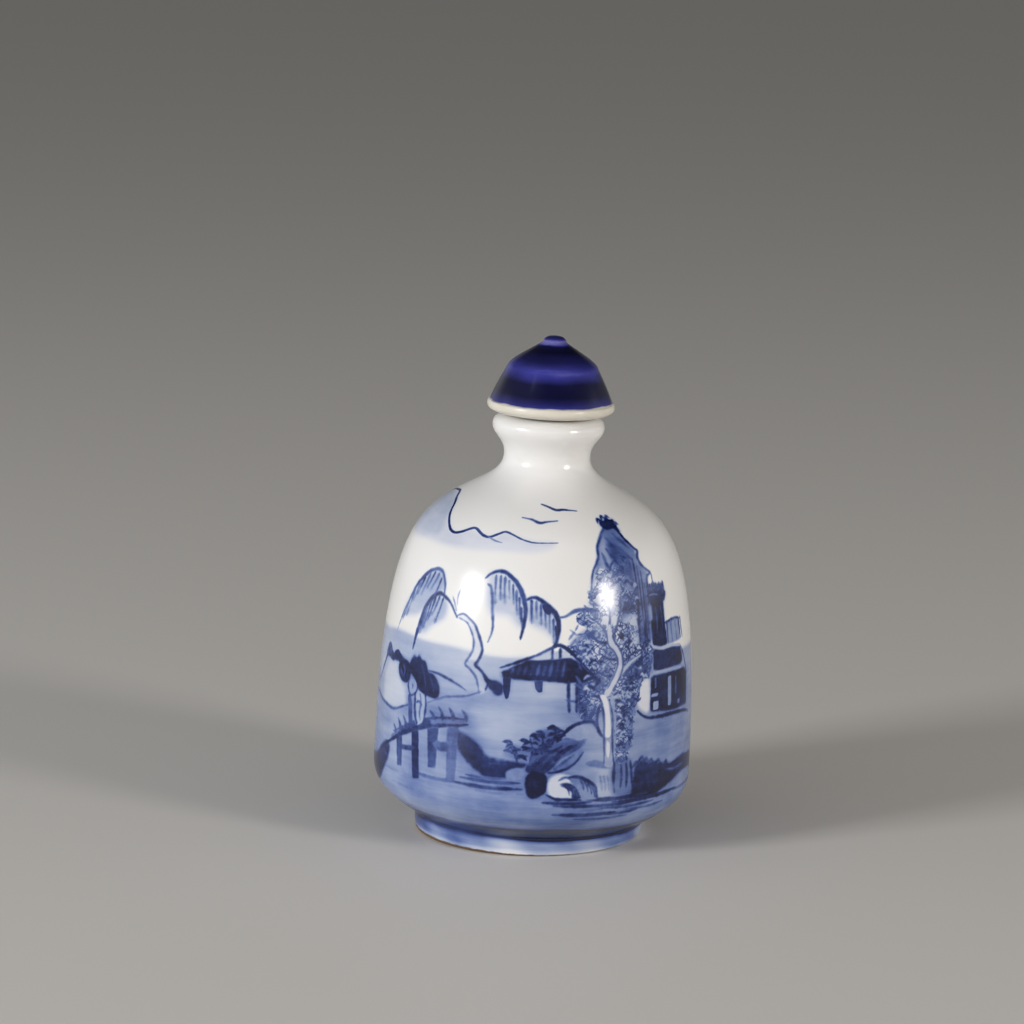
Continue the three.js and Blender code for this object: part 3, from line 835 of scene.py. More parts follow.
def net_of_leaves(painter):
    """Where the scribbled net of leaves lies, full in the first three shapes and broken in the others."""
    for shape, cover, soft in (
        ([(14, 33.6), (18, 36), (23, 39), (28, 39.4), (33, 41.5), (40, 43.5), (41, 39), (34, 37.6),
          (38, 33.5), (46, 33.4), (46, 28.6), (41, 27.6), (40, 25), (38, 23.6), (37, 20), (36, 16.6),
          (31, 15.9), (30, 22), (29, 26), (24, 23.8), (20, 22.6), (15.4, 23.6), (15.4, 28.2), (20, 29.6),
          (15.5, 31.6)], 1.0, 0.7),
        ([(10, 33.7), (15, 33.9), (18, 35.8), (23, 36.4), (22, 34), (15, 32.2)], 1.0, 0.6),
        ([(14, 37.9), (18, 38.9), (23, 39), (25, 37), (20, 36.2), (15, 36.8)], 1.0, 0.6),
        ([(29, 39), (31, 44), (35, 46), (40, 45), (41, 40), (41, 34.5), (33, 34.5), (32, 38)], 0.62, 1.0),
        ([(17, 37), (18, 40), (21, 43), (25, 44.6), (30, 44), (31, 36), (24, 35)], 0.5, 1.2),
    ):
        painter.tint(shape, cover, soft, into="leaves")
    painter.tint([(18, 37), (20, 40.4), (24, 43), (30, 43), (31, 36), (24, 35)], 0.24, 2.0)
    # darker gatherings of leaves
    for shape, tone in (
        ([(31, 30), (38, 31.6), (45, 32.6), (46, 29), (40, 28), (33, 27.6)], 0.62),
        ([(15, 28.4), (22, 30), (28, 30), (27, 26.4), (20, 26), (15.4, 26)], 0.6),
        ([(16, 25), (22, 25.6), (24, 23.6), (20, 22.8), (16, 23.4)], 0.66),
        ([(12, 34), (17, 35.8), (22, 36), (21, 34.6), (16, 34)], 0.66),
        ([(30, 26), (36, 26.6), (38, 24.2), (31, 23.6)], 0.6),
    ):
        painter.tint(shape, tone, 1.6)


def trunk_and_boughs(painter):
    """Twigs, then a grey root, a white stem, its winding upper part and one bough, between dark lines."""
    for twig in (
        [(26.6, 34.6), (24.6, 36), (21.6, 37.2), (18.4, 37.8)],
        [(27, 35.6), (27.6, 38), (26.8, 40.6)],
        [(28.2, 34.6), (30.6, 36.4), (32.4, 38.8), (33, 41)],
        [(26, 33.9), (22.6, 34.2), (18.6, 35.2), (14.6, 35.3)],
        [(30.4, 31.4), (26.8, 31.6), (22.6, 32.6)],
        [(29.6, 29), (25, 29.2), (21, 30.2)],
        [(25, 25.4), (21.4, 26.2), (17.6, 26)],
    ):
        painter.stroke(twig, 0.4, 0.8, press=(1.1, 0.8, 0.5, 0.3))
    painter.patch([(25.8, 20.2), (28.6, 20.2), (29, 17.6), (29.6, 15.6), (26.4, 15.6), (26.2, 18)], 0.42, 0.2)
    painter.patch([(26.8, 19.4), (27.9, 19), (28, 17.2), (27.2, 16.7), (26.6, 18)], 0.16, 0.2)
    painter.stroke(
        [(26, 26.3), (28, 27.6), (30, 29), (31.3, 30.2), (31.4, 31.4), (30.2, 32.6), (28.2, 33.6),
         (27.2, 34.8), (27.2, 36.4)],
        1.05, 0.24, press=(0.9, 1, 1.1, 1, 1, 0.8, 0.5),
    )
    painter.stroke([(31.6, 29.2), (34, 30.1), (37, 31), (41, 31.7)], 0.6, 0.32, press=(1.2, 1, 0.8, 0.4))
    painter.patch(
        [(23.4, 26.2), (24.6, 25.2), (25.4, 24), (25.9, 22), (26, 20.1), (28.2, 20.1), (28, 22),
         (27.5, 23.6), (26.6, 25.4), (25.4, 26.3)],
        0.14, 0.24,
    )
    painter.stroke(
        [(22.9, 26.4), (24.2, 25), (25, 23.6), (25.4, 22), (25.5, 20.4), (25.9, 18), (26, 16)],
        0.34, 0.84,
    )
    painter.stroke([(27.2, 25.6), (28.4, 23.8), (28.9, 22), (28.9, 20), (29.3, 17.8), (30, 15.6)], 0.34, 0.82)
    painter.stroke([(23.4, 24.6), (22.6, 22.8), (23.4, 21), (25.2, 20.1)], 0.4, 0.86)
    for points in (
        [(26.4, 27.2), (28.6, 28.8), (30.2, 30.2), (30.4, 31.4), (29, 32.6), (26.6, 33.6), (26, 35.4)],
        [(28.6, 27), (31, 28.4), (32.6, 30), (32.6, 31.8), (31, 33.2), (29, 34.4), (28.4, 36.6)],
        [(33, 28.8), (36, 29.9), (39, 30.7), (42, 31)],
        [(33.4, 31), (36.4, 31.9), (39, 32.3), (42, 32.3)],
    ):
        painter.stroke(points, 0.28, 0.84)


def single_leaves(painter, before):
    """Sprigs along the edges of the leaves, then dabs within, clear of marks above the layers before."""
    for edge in (
        [(14, 33.6), (12, 34.6), (15, 37.4), (18, 38.9), (22, 39.6), (24, 41.4), (29, 42.4), (31, 45)],
        [(15.4, 31.6), (15, 28), (15.6, 24), (20, 22.8)],
        [(40.6, 27.8), (39.4, 25), (37.4, 23.4), (37.2, 20), (36.4, 17)],
        [(41.5, 38), (42, 34), (46, 33.4), (46.4, 30), (45, 28)],
    ):
        sprigs(painter, edge)
    in_front = np.abs(painter.turn) < 60
    marked = np.nonzero((painter.top > before) & in_front)[0]
    leafy = np.nonzero((painter.leaves > 0.7) & in_front)[0]
    gap = np.hypot(
        (painter.turn[leafy][:, None] - painter.turn[marked]) * MM_PER_DEGREE,
        painter.height[leafy][:, None] - painter.height[marked],
    ).min(1)
    for k, spot in enumerate(painter.random.choice(leafy[gap > 0.75], 150, replace=False)):
        at = np.array((painter.turn[spot], painter.height[spot]))
        lean = painter.random.uniform(-0.8, 0.8)
        half = np.array((math.cos(lean) / MM_PER_DEGREE, math.sin(lean)))
        half *= painter.random.uniform(0.3, 0.6)
        tone = painter.random.uniform(0.2, 0.34) if k % 3 == 0 else painter.random.uniform(0.78, 0.95)
        width = painter.random.uniform(0.28, 0.46)
        painter.stroke([at - half, at + (0.0, 0.25), at + half], width, tone, soft=0.5, over=False)


def old_tree(painter):
    """An old tree: a bare white trunk that winds up through a net of dark scribbled leaves."""
    net_of_leaves(painter)
    before = painter.top.copy()
    trunk_and_boughs(painter)
    single_leaves(painter, before)


def bridge(painter):
    """A plank bridge on heavy piles, with a low rail, climbing from the left shore."""
    for pile, tone, soft, fade in (
        ([(-58.2, 16.4), (-54.4, 16.9), (-53.8, 12.2), (-56.6, 12.1)], 0.74, 0.35, -0.15),
        ([(-49, 18), (-45.4, 18.6), (-43.8, 11.2), (-47.2, 11)], 0.8, 0.35, -0.15),
        ([(-41, 19.2), (-36, 19.6), (-36.3, 13.4), (-39.8, 13.4)], 0.76, 0.4, -0.1),
        ([(-32.2, 20), (-27.6, 20.3), (-28, 12.2), (-31.6, 12.2)], 0.64, 0.45, -0.1),
    ):
        painter.patch(pile, tone, soft, curved=False, fade=fade)
    painter.stroke([(-54.6, 15.1), (-51, 15.3), (-47.4, 15.6)], 0.75, 0.8, press=(1, 1, 1))
    painter.stroke([(-36.6, 17), (-34, 16.9), (-31.4, 17.1)], 1.4, 0.74, press=(1, 1, 1), soft=0.45)
    painter.patch(
        [(-62, 16.2), (-58, 17.2), (-50, 19), (-42, 20.5), (-34, 21.3), (-26, 21.4), (-26, 20.8),
         (-34, 20.2), (-42, 19.4), (-52, 17.7), (-61, 15.7)],
        0.62, 0.4,
    )
    painter.patch(
        [(-57, 17.3), (-50, 19), (-43, 20.3), (-40, 20.5), (-40.6, 19.7), (-49, 18.2), (-56.6, 16.8)],
        0.8, 0.5,
    )
    painter.stroke(
        [(-66, 14.6), (-62, 15.4), (-56, 16.8), (-50, 18), (-42, 19.3), (-34, 20.1), (-28, 20.5),
         (-24, 20.9)],
        0.66, 0.9, press=(0.6, 1, 1.1, 0.9, 0.4),
    )
    painter.stroke(
        [(-60.5, 16.9), (-56, 17.8), (-50, 19.1), (-44, 20.2), (-38, 20.9), (-32, 21.4), (-25, 21.6)],
        0.42, 0.8, press=(0.5, 1, 1, 0.5),
    )
    for turn, foot, head in (
        (-59.6, 17, 18), (-56.6, 17.6, 19.2), (-53.4, 18.4, 19.8), (-39.2, 20.9, 21.8), (-35.4, 21.1, 22.7),
        (-30.8, 21.3, 22.8), (-25.6, 21.5, 22.9),
    ):
        painter.stroke(
            [(turn + 0.8, foot), (turn + 0.4, (foot + head) / 2), (turn - 1.1, head)],
            0.55, 0.76, press=(1.2, 1, 0.5),
        )


def walkers(painter):
    """Two small cloaked walkers under a round parasol, crossing the bridge, in a few dabs."""
    painter.patch(
        [(-52.6, 28.6), (-51.2, 29.4), (-49.6, 29.1), (-48.4, 29.6), (-46.6, 29), (-44.6, 28.8),
         (-42.9, 27.6), (-40, 27.2), (-37.6, 26.3), (-36.9, 25.2), (-37.2, 24.2), (-39, 23.8), (-42.9, 24),
         (-45.8, 24.3), (-47.8, 24.9), (-49.2, 25.8), (-51.5, 26.4), (-53.6, 27.2)],
        0.94, 0.45, fade=0.1,
    )
    painter.stroke([(-46.4, 28.2), (-44.6, 26.8), (-43.4, 25.2)], 0.3, 0.78, soft=0.6)
    painter.stroke([(-41.6, 26.8), (-40.2, 25.8), (-39.4, 24.8)], 0.3, 0.78, soft=0.6)
    painter.patch(
        [(-60.4, 27.2), (-58.6, 28), (-55.4, 28.2), (-52.6, 27.4), (-52.2, 26), (-53.8, 25), (-57.4, 25),
         (-60, 26)],
        0.86, 0.4,
    )
    painter.patch([(-59, 26.8), (-57, 27.4), (-54.8, 27), (-54.4, 26), (-56.6, 25.6), (-58.8, 26)], 0.7, 0.8)
    painter.stroke([(-58.4, 27.1), (-57, 26.5), (-57.2, 25.7)], 0.4, 0.9)
    painter.stroke([(-55.8, 27.3), (-55, 26.6), (-55.4, 25.6)], 0.36, 0.9)
    # the nearer walker: head, pale robe between dark edges, and legs down to the planks
    painter.patch(
        [(-48.6, 24), (-45.8, 24.2), (-43.2, 23.4), (-43, 21.4), (-43.8, 19.8), (-46.8, 19.2),
         (-48.4, 20.6)],
        0.36, 0.3,
    )
    painter.patch(
        [(-52.6, 24.9), (-51.2, 25.7), (-49, 25.6), (-48, 24.8), (-49, 23.7), (-51.4, 23.6)],
        0.42, 0.2,
    )
    for points, width, tone in (
        ([(-50.9, 25.1), (-50.2, 24.7), (-50.6, 24.3)], 0.26, 0.7),
        ([(-52.8, 25.2), (-52.9, 24.4), (-52, 23.7)], 0.3, 0.8),
        ([(-47.8, 25.4), (-47.6, 24.6), (-48.4, 23.8)], 0.3, 0.8),
        ([(-53, 24.6), (-52, 23.7), (-50.4, 23.3), (-48.6, 23.8)], 0.36, 0.84),
    ):
        painter.stroke(points, width, tone)
    painter.stroke(
        [(-51.6, 23.2), (-50.8, 21.8), (-50.4, 20.4), (-49.6, 18.7)],
        0.95, 0.8, press=(0.8, 1, 1, 0.9),
    )
    painter.stroke([(-48.6, 23.8), (-48.2, 22), (-47.6, 20.4), (-46.6, 19.4)], 0.5, 0.84, press=(0.7, 1, 1))
    for points, width, tone in (
        ([(-47.8, 22.4), (-46.2, 22.8), (-44.6, 22.3)], 0.36, 0.78),
        ([(-46, 24), (-45.2, 22.6), (-45.4, 21), (-44.8, 20)], 0.34, 0.7),
        ([(-43.2, 24), (-42.6, 22.6), (-42.8, 21), (-43.2, 19.8)], 0.42, 0.82),
    ):
        painter.stroke(points, width, tone)


def near_rocks(painter):
    """A pale boulder at the left, the dark bank, and leaning slabs and round rocks in the middle."""
    painter.tint(
        [(-79, 24), (-74, 27.4), (-62, 27.6), (-58, 25), (-55, 23.4), (-54, 21.6), (-62, 20.6), (-74, 21)],
        0.24, 1.0,
    )
    painter.tint([(-79, 24), (-74, 27.4), (-69, 27.4), (-73, 24), (-72, 21.4), (-76, 21.4)], 0.36, 1.6)
    painter.stroke(
        [(-80, 23), (-78, 24), (-75, 25.8), (-72.4, 27.6), (-71.6, 28.6)],
        0.5, 0.74, press=(0.4, 0.8, 1.1, 1),
    )
    painter.patch(
        [(-72.8, 28.2), (-69, 28.7), (-65, 28.4), (-61, 28.8), (-56.4, 28.1), (-56.6, 27.3), (-62, 27.6),
         (-66, 27.3), (-70, 27.5), (-72.8, 27.3)],
        0.8, 0.5,
    )
    painter.stroke(
        [(-72.6, 27.8), (-71, 29), (-69.2, 28.8), (-67.6, 27.9), (-65.6, 27.8), (-63.8, 28.5),
         (-61.6, 28.5), (-59.4, 27.8), (-56, 27.7)],
        1.0, 0.82, press=(0.8, 1.2, 0.9, 0.7, 1.2, 0.9, 0.6),
    )
    painter.stroke([(-70.8, 28.2), (-69.8, 29.5)], 0.5, 0.8)
    painter.stroke([(-62.8, 28.4), (-62, 29.1)], 0.5, 0.86)
    painter.stroke(
        [(-86, 21.4), (-79.3, 21.2), (-73.6, 20.7), (-66.8, 20.35), (-61, 20.3), (-55.3, 21.2),
         (-51, 21.9)],
        0.5, 0.74,
    )
    painter.patch(
        [(-29, 19.9), (-26, 19.6), (-23, 19), (-19.5, 18.2), (-17.5, 17.2), (-15, 16.5), (-10, 16.3),
         (-5, 16.1), (-2.2, 15.9), (-4, 15.1), (-7.6, 14.7), (-8.8, 13.7), (-12, 13.4), (-17, 13.5),
         (-19.5, 14.2), (-23, 15.2), (-26, 16.4), (-28.4, 18)],
        0.93, 0.7, fade=0.16,
    )
    painter.patch([(-9, 14.6), (-5, 15.3), (-2.4, 14.9), (-3, 13.8), (-6.4, 13.3), (-8.6, 13.5)], 0.5, 0.5)
    # leaning slabs, dark at the foot and paler towards their heads, with streaks along them
    painter.patch(
        [(9.8, 20), (12, 21), (15.4, 21.9), (19, 22), (21.6, 21.2), (22, 20), (18, 19.6), (13, 18.7)],
        0.48, 0.5, fade=0.2,
    )
    painter.patch(
        [(-2.4, 15), (-0.4, 16.6), (1.5, 18.1), (5.3, 18.7), (8.7, 19.6), (12, 20), (16, 19.6),
         (19.3, 19.9), (16.8, 18.6), (14, 17.7), (10, 16.8), (7.2, 15.5), (4.8, 14.6), (1, 14.5)],
        0.84, 0.5, fade=0.24,
    )
    painter.patch(
        [(5.8, 14.8), (9, 16), (12, 17), (15, 17.9), (17.6, 18.2), (17.4, 17.2), (14.6, 15.9), (10.4, 15),
         (7, 14.4)],
        0.62, 0.5, fade=0.15,
    )
    for points, tone in (
        ([(0, 15), (3, 16.6), (6.4, 17.8), (10, 18.8)], 0.95),
        ([(3.6, 15.2), (6.4, 16.6), (9.6, 17.8), (13.4, 18.8)], 0.92),
        ([(8, 16.6), (12, 18.2), (16.4, 19.2)], 0.88),
        ([(6.4, 19), (9.4, 19.5), (12.6, 19.8)], 0.66),
        ([(7.6, 15.2), (11, 16.4), (14.6, 17.5)], 0.76),
        ([(-1, 15.8), (1.4, 17.4), (3, 18)], 0.7),
    ):
        painter.stroke(points, 0.5, tone, press=(0.4, 1, 0.8, 0.3), soft=0.6)
    painter.stroke(
        [(8.4, 19.5), (10.1, 20.4), (13, 21.6), (16.8, 22.3), (20.7, 22.4), (22.6, 21.7), (24, 20.6),
         (25.2, 20)],
        0.5, 0.9, press=(0.8, 1, 1, 1.2, 0.8),
    )
    painter.stroke([(5.6, 14.7), (9, 14.9), (12.6, 15.5), (15.4, 16.4), (18, 17.9)], 0.4, 0.84)
    painter.patch(
        [(-2.1, 12.5), (-1.8, 14), (0.5, 14.9), (4.3, 14.6), (5.6, 13.2), (4.7, 11.7), (1.6, 10.8),
         (-1, 11.1)],
        0.98, 0.5,
    )
    # a white boulder, with a hatched one leaning on it
    painter.patch(
        [(5.9, 11.7), (5.8, 13.2), (7.4, 14.3), (10.4, 14.6), (14, 14.2), (17, 12.8), (16.6, 11),
         (12, 10.7), (8, 10.9)],
        0.18, 0.7,
    )
    painter.patch(
        [(13.4, 13.9), (16.8, 13.9), (20.7, 13.1), (23.1, 12.2), (23.9, 10.8), (19, 10.6), (16.6, 10.7),
         (15.8, 12)],
        0.46, 0.5, fade=-0.2,
    )
    painter.stroke(
        [(13, 14.1), (16.8, 14.1), (20.7, 13.3), (23.1, 12.4), (23.9, 10.9)],
        0.55, 0.86, press=(0.5, 1.1, 1, 0.9, 0.6),
    )
    painter.patch(
        [(10, 13), (12.4, 13.3), (15.2, 12.8), (17.4, 11.4), (17.6, 10.8), (14.6, 10.9), (14.4, 11.8),
         (12.4, 12.4)],
        0.84, 0.4,
    )
    painter.stroke([(9.6, 13.6), (12, 14.1), (14, 13.8)], 0.4, 0.7)
    for turn, height in (
        (12.2, 12.9), (14, 12.8), (15.4, 12.3), (17.4, 13.6), (19, 13.4), (20.4, 13), (21.8, 12.5),
    ):
        painter.stroke(
            [(turn, height), (turn + 0.9, height - 0.6), (turn + 1.4, height - 1.5)],
            0.36, 0.78, press=(1.1, 0.8, 0.3),
        )
    painter.stroke([(5.4, 11.4), (9, 10.75), (13, 10.7), (18, 10.6)], 0.5, 0.9, press=(0.5, 1, 1, 0.6))
    painter.tint([(24, 11), (24, 14.6), (29, 14.8), (29.8, 11)], 0.36, 1.2)
    painter.tint([(29.6, 11.6), (30, 16.4), (36.4, 16.4), (39.6, 13), (39, 10.8)], 0.66, 1.1)
    painter.patch(
        [(18.8, 16.1), (21.7, 16.6), (25.5, 16.3), (28.9, 15.3), (25, 15.3), (21.6, 15.6)],
        0.6, 0.45,
    )
    for points in (
        [(37, 16), (37.8, 14), (38.4, 12)], [(30.2, 16), (30.2, 13.6), (30.8, 11.4)],
        [(33, 15.6), (33.4, 13.8), (33.2, 12)], [(35.2, 15.8), (35.8, 14), (35.6, 12)],
    ):
        painter.stroke(points, 0.5, 0.9, soft=0.4)
    for turn in (24.8, 26.2, 27.6):
        painter.stroke(
            [(turn, 14), (turn + 0.6, 13), (turn + 0.9, 12)],
            0.3, 0.6, press=(1, 0.8, 0.4), soft=0.7,
        )
    # shrubs: stems and clumps of short flat dabs
    for points in (
        [(-5.4, 16.2), (-6.4, 17.4), (-8, 18.4)], [(-1, 16.4), (-0.2, 18), (-1.2, 19.8)],
        [(3, 17.6), (3.4, 19.2), (2.6, 21)], [(6.4, 18.6), (7.2, 20), (8, 21.6)],
    ):
        painter.stroke(points, 0.34, 0.86)
    painter.tint(
        [(-10, 17), (-8, 18.6), (-3, 18.4), (0, 20.6), (6, 21.4), (9, 21), (6, 18), (-2, 16.4)],
        0.6, 1.0,
    )
    for turn, height, count in (
        (-8.4, 18.2, 5), (-5, 17.4, 5), (-1.4, 18.8, 6), (2, 20.2, 6), (3.6, 18.6, 5), (7.6, 21, 6),
        (0.4, 17.2, 4), (7, 19.4, 3),
    ):
        for _ in range(count):
            at = np.array((turn, height)) + painter.random.uniform(-1, 1, 2) * (2.0, 0.75)
            half = np.array((painter.random.uniform(1.0, 1.9), painter.random.uniform(-0.3, 0.3)))
            width, tone = painter.random.uniform(0.4, 0.6), painter.random.uniform(0.76, 0.92)
            painter.stroke([at - half, at + (0.0, 0.22), at + half], width, tone, over=False)


def shores_and_water(painter):
    """Dark banks running round to both sides, and flat ripple lines."""
    painter.patch(
        [(-92, 11.2), (-84, 11.4), (-77, 12), (-73, 13), (-69, 14.3), (-64.6, 15), (-63, 14.2), (-64, 12.4),
         (-66.8, 10.8), (-70, 9.2), (-76, 8), (-82, 7.4), (-92, 7)],
        0.92, 0.8, fade=0.1,
    )
    painter.patch(
        [(38.6, 13), (39.4, 14.9), (41, 15.4), (42.4, 16), (44.6, 15.5), (48, 15.3), (54, 14.7), (60, 14.3),
         (66, 14.7), (74, 14.6), (84, 14), (94, 13.2), (94, 11.6), (84, 12), (74, 12.2), (66, 12),
         (58, 11.2), (50, 10.3), (46, 10.1), (39, 10.4)],
        1.05, 0.7, fade=0.18,
    )
    for turn, height in ((39.8, 15.6), (42.2, 16.2), (44.6, 15.9), (47, 15.6), (51, 15.3), (56, 14.8)):
        painter.stroke(
            [(turn - 1.5, height - 0.6), (turn, height), (turn + 1.4, height - 0.5)],
            0.6, 0.84, soft=0.5,
        )
    painter.stroke([(56, 13.6), (62, 13.2), (70, 13.3)], 0.5, 0.7, soft=0.8)
    for left, right, height, width, tone in (
        (-47, -26, 12.0, 0.4, 0.66), (-28, -3, 12.0, 0.5, 0.84), (-26, -4, 12.9, 0.44, 0.76),
        (-24, -9, 13.4, 0.34, 0.7), (-20, -2, 11.3, 0.3, 0.56), (4, 22, 10.2, 0.5, 0.86),
        (20, 46, 10.6, 0.6, 0.92), (30, 64, 10.0, 0.5, 0.86), (8, 42, 9.7, 0.46, 0.84),
        (26, 50, 9.2, 0.4, 0.8), (12, 30, 9.1, 0.34, 0.62), (8, 32, 8.3, 0.6, 0.88),
        (26, 42, 8.2, 0.5, 0.8), (16, 38, 7.5, 0.44, 0.72), (36, 56, 8.6, 0.36, 0.7),
        (62, 84, 9.9, 0.44, 0.76), (-84, -66, 6.6, 0.3, 0.6), (-60, -38, 9.4, 0.3, 0.54),
        (-66, -50, 11.2, 0.3, 0.5),
    ):
        ripple = [(left, height), ((left + right) / 2, height - 0.12), (right, height + 0.08)]
        painter.stroke(ripple, width + 0.12, tone, press=(0.3, 1, 0.9, 1, 0.3), over=False)


def far_side(painter):
    """The back, plainer: the ridge comes round over two pairs of hills, a reed bank, a spit and ripples."""
    painter.tint(
        [(96, 46), (96, 48), (110, 49.6), (128, 49), (146, 50.4), (170, 49.2), (196, 50.6), (222, 49.6),
         (250, 50.8), (264, 51), (264, 46.4), (180, 46)],
        0.2, 1.8,
    )
    painter.stroke(
        [(92, 47.4), (100, 48.4), (112, 49.9), (124, 49.2), (136, 49.4), (148, 50.8), (160, 50),
         (172, 49.4), (184, 49.8), (198, 51), (212, 50.2), (226, 49.6), (238, 50.1), (247, 50.6)],
        0.5, 0.66, press=(0.3, 1, 0.9, 1, 1, 0.9, 0.5), soft=0.25,
    )
    for centre, height, width in ((128, 41.4, 12), (146, 38.6, 9), (206, 40.6, 11), (224, 38, 9)):
        left, right = centre - width, centre + width
        painter.tint(
            [(left + 1, height - 5), (centre - width / 2, height - 1), (centre, height),
             (centre + width / 2, height - 0.8), (right - 1, height - 5)],
            0.33, 2.0,
        )
        painter.stroke(
            [(left, height - 7.4), (left + 1.6, height - 4.4), (centre - width / 2, height - 1.2),
             (centre, height), (centre + width / 2, height - 1), (right - 1.6, height - 4),
             (right - 1, height - 6.6)],
            0.6, 0.8, press=(0.4, 1, 1.1, 1.1, 0.9, 0.5),
        )
        starts = [(centre + k * width / 6, height - 0.7 - 0.12 * k * k) for k in range(-4, 5, 2)]
        painter.hatch(starts, 3.2, 1.0, 0.5, 0.68)
    painter.patch(
        [(94, 13), (104, 14.4), (116, 15.6), (128, 16), (140, 15), (150, 13.4), (140, 12.2), (120, 11.6),
         (94, 11.5)],
        0.86, 0.4,
    )
    painter.patch(
        [(196, 14), (208, 15.6), (220, 15), (232, 13), (246, 11.8), (262, 11.3), (272, 11.2), (272, 7.6),
         (262, 7.6), (246, 8.8), (228, 10.8), (210, 12.4)],
        0.88, 0.4,
    )
    for left, right, height, tone in (
        (150, 180, 13.2, 0.66), (156, 196, 11.8, 0.7), (120, 150, 10, 0.66), (176, 214, 10.2, 0.62),
        (164, 190, 20.4, 0.5), (128, 152, 22.6, 0.5), (198, 226, 23.4, 0.5),
    ):
        painter.stroke(
            [(left, height), ((left + right) / 2, height - 0.15), (right, height + 0.1)],
            0.45, tone, press=(0.3, 1, 1, 0.3),
        )
    for k in range(9):
        turn = 112 + 3.4 * k
        painter.stroke(
            [(turn, 15.4), (turn + 0.6, 17.2), (turn + (k % 3 - 1) * 1.6, 18.6 + 0.8 * (k % 2))],
            0.45, 0.8, press=(1, 0.8, 0.3),
        )


def store_height(piece):
    """Height along the leaning axis, in mm, for the glaze's run."""
    flat = np.empty(len(piece.data.vertices) * 3, np.float32)
    piece.data.vertices.foreach_get("co", flat)
    x, _, z = flat.reshape(-1, 3).T / MM
    height = (x - foot_x) * math.sin(LEAN) + z * math.cos(LEAN)
    piece.data.attributes.new("height", "FLOAT", "POINT").data.foreach_set("value", height.astype(np.float32))


def lay_flat(piece, painter):
    """Lays the bottle out for baking: the front widest, the back below it, the hidden sides beside that."""
    mesh = piece.data
    row = np.empty(len(mesh.vertices), np.float32)
    mesh.attributes["row"].data.foreach_get("value", row)
    corner = np.empty(len(mesh.loops), np.int32)
    mesh.loops.foreach_get("vertex_index", corner)
    first, sides = np.empty((2, len(mesh.polygons)), np.int32)
    mesh.polygons.foreach_get("loop_start", first)
    mesh.polygons.foreach_get("loop_total", sides)
    face = np.repeat(np.arange(len(first)), sides)

    def by_face(values):
        return (np.add.reduceat(values[corner], first) / sides)[face]

    # each corner's turn, counted on from the turn of its face's middle
    turn = np.radians(painter.turn)
    aside, ahead = painter.radius * np.sin(turn), painter.radius * np.cos(turn)
    middle = np.degrees(np.arctan2(by_face(aside), by_face(ahead)))
    beyond = (painter.turn[corner] - middle + 180) % 360 - 180
    at = middle + beyond * (painter.radius[corner] > 0.01)

    # each corner's share of the way up the outside, and of the way down the inside
    outline = np.array(bottle_points, float)
    foot_row, mouth_row = bottle_points.index(UNDER_SEAM), bottle_points.index(MOUTH_SEAM)
    step = np.hypot(*np.diff(outline, axis=0).T)
    step *= np.interp(outline[1:, 1], (0, 4, 50, 53, 64), (0.7, 1, 1, 0.4, 0.4))
    run = np.concatenate([[0], np.cumsum(step)])
    corner_row = row[corner].round().astype(int)
    up = ((run - run[foot_row]) / (run[mouth_row] - run[foot_row]))[corner_row]
    down = ((run - run[mouth_row]) / (run[-1] - run[mouth_row]))[corner_row]

    # the four places on the map, each as where it applies, how far across and how far up
    half = 91  # degrees: the front and the back each run a degree past their edges
    whole = 181.5
    disc = 220  # mm of the underside that would fill the map
    underside = (by_face(row) < foot_row, 0.83 + aside[corner] / disc, 0.335 + ahead[corner] / disc)
    inside = (by_face(row) > mouth_row, 0.745 + 0.25 * (at + whole) / (2 * whole), 0.003 + 0.245 * down)
    front = (np.abs(middle) <= 90, (at + half) / (2 * half), 0.42 + 0.575 * up)
    back = (np.abs(middle) > 90, 0.002 + 0.73 * ((at % 360 - 180 + half) / (2 * half)), 0.003 + 0.405 * up)
    where, across, upward = zip(underside, inside, front, back)
    flat = np.stack([np.select(where, across), np.select(where, upward)], 1).astype(np.float32)
    mesh.uv_layers.new(name="OFBake").uv.foreach_set("vector", flat.ravel())


def paint(piece):
    """Paints the whole wall, from what lies farthest and lowest to what lies over it."""
    painter = Painter(piece.data)
    for scene_part in (
        paint_washes, far_ridge, hills, winding_path, near_rocks, shores_and_water, bridge, walkers, crag,
        tower, house, pavilion, old_tree, far_side,
    ):
        scene_part(painter)
    painter.store(piece.data)
    return painter


# ---------------------------------------------------------------- materials


def new_material(name):
    material = bpy.data.materials.new(name)
    material.use_nodes = True
    tree = material.node_tree
    tree.nodes.clear()
    return material, tree


COBALT = (  # cobalt under glaze, from bare white through thin washes to strokes laid on thick
    (0.00, "#e2e1e0"),
    (0.14, "#ced1dc"),
    (0.28, "#aab4cb"),
    (0.42, "#8998bc"),
    (0.56, "#6175a8"),
    (0.70, "#40538e"),
    (0.84, "#1d2b60"),
    (1.00, "#0b1236"),
)


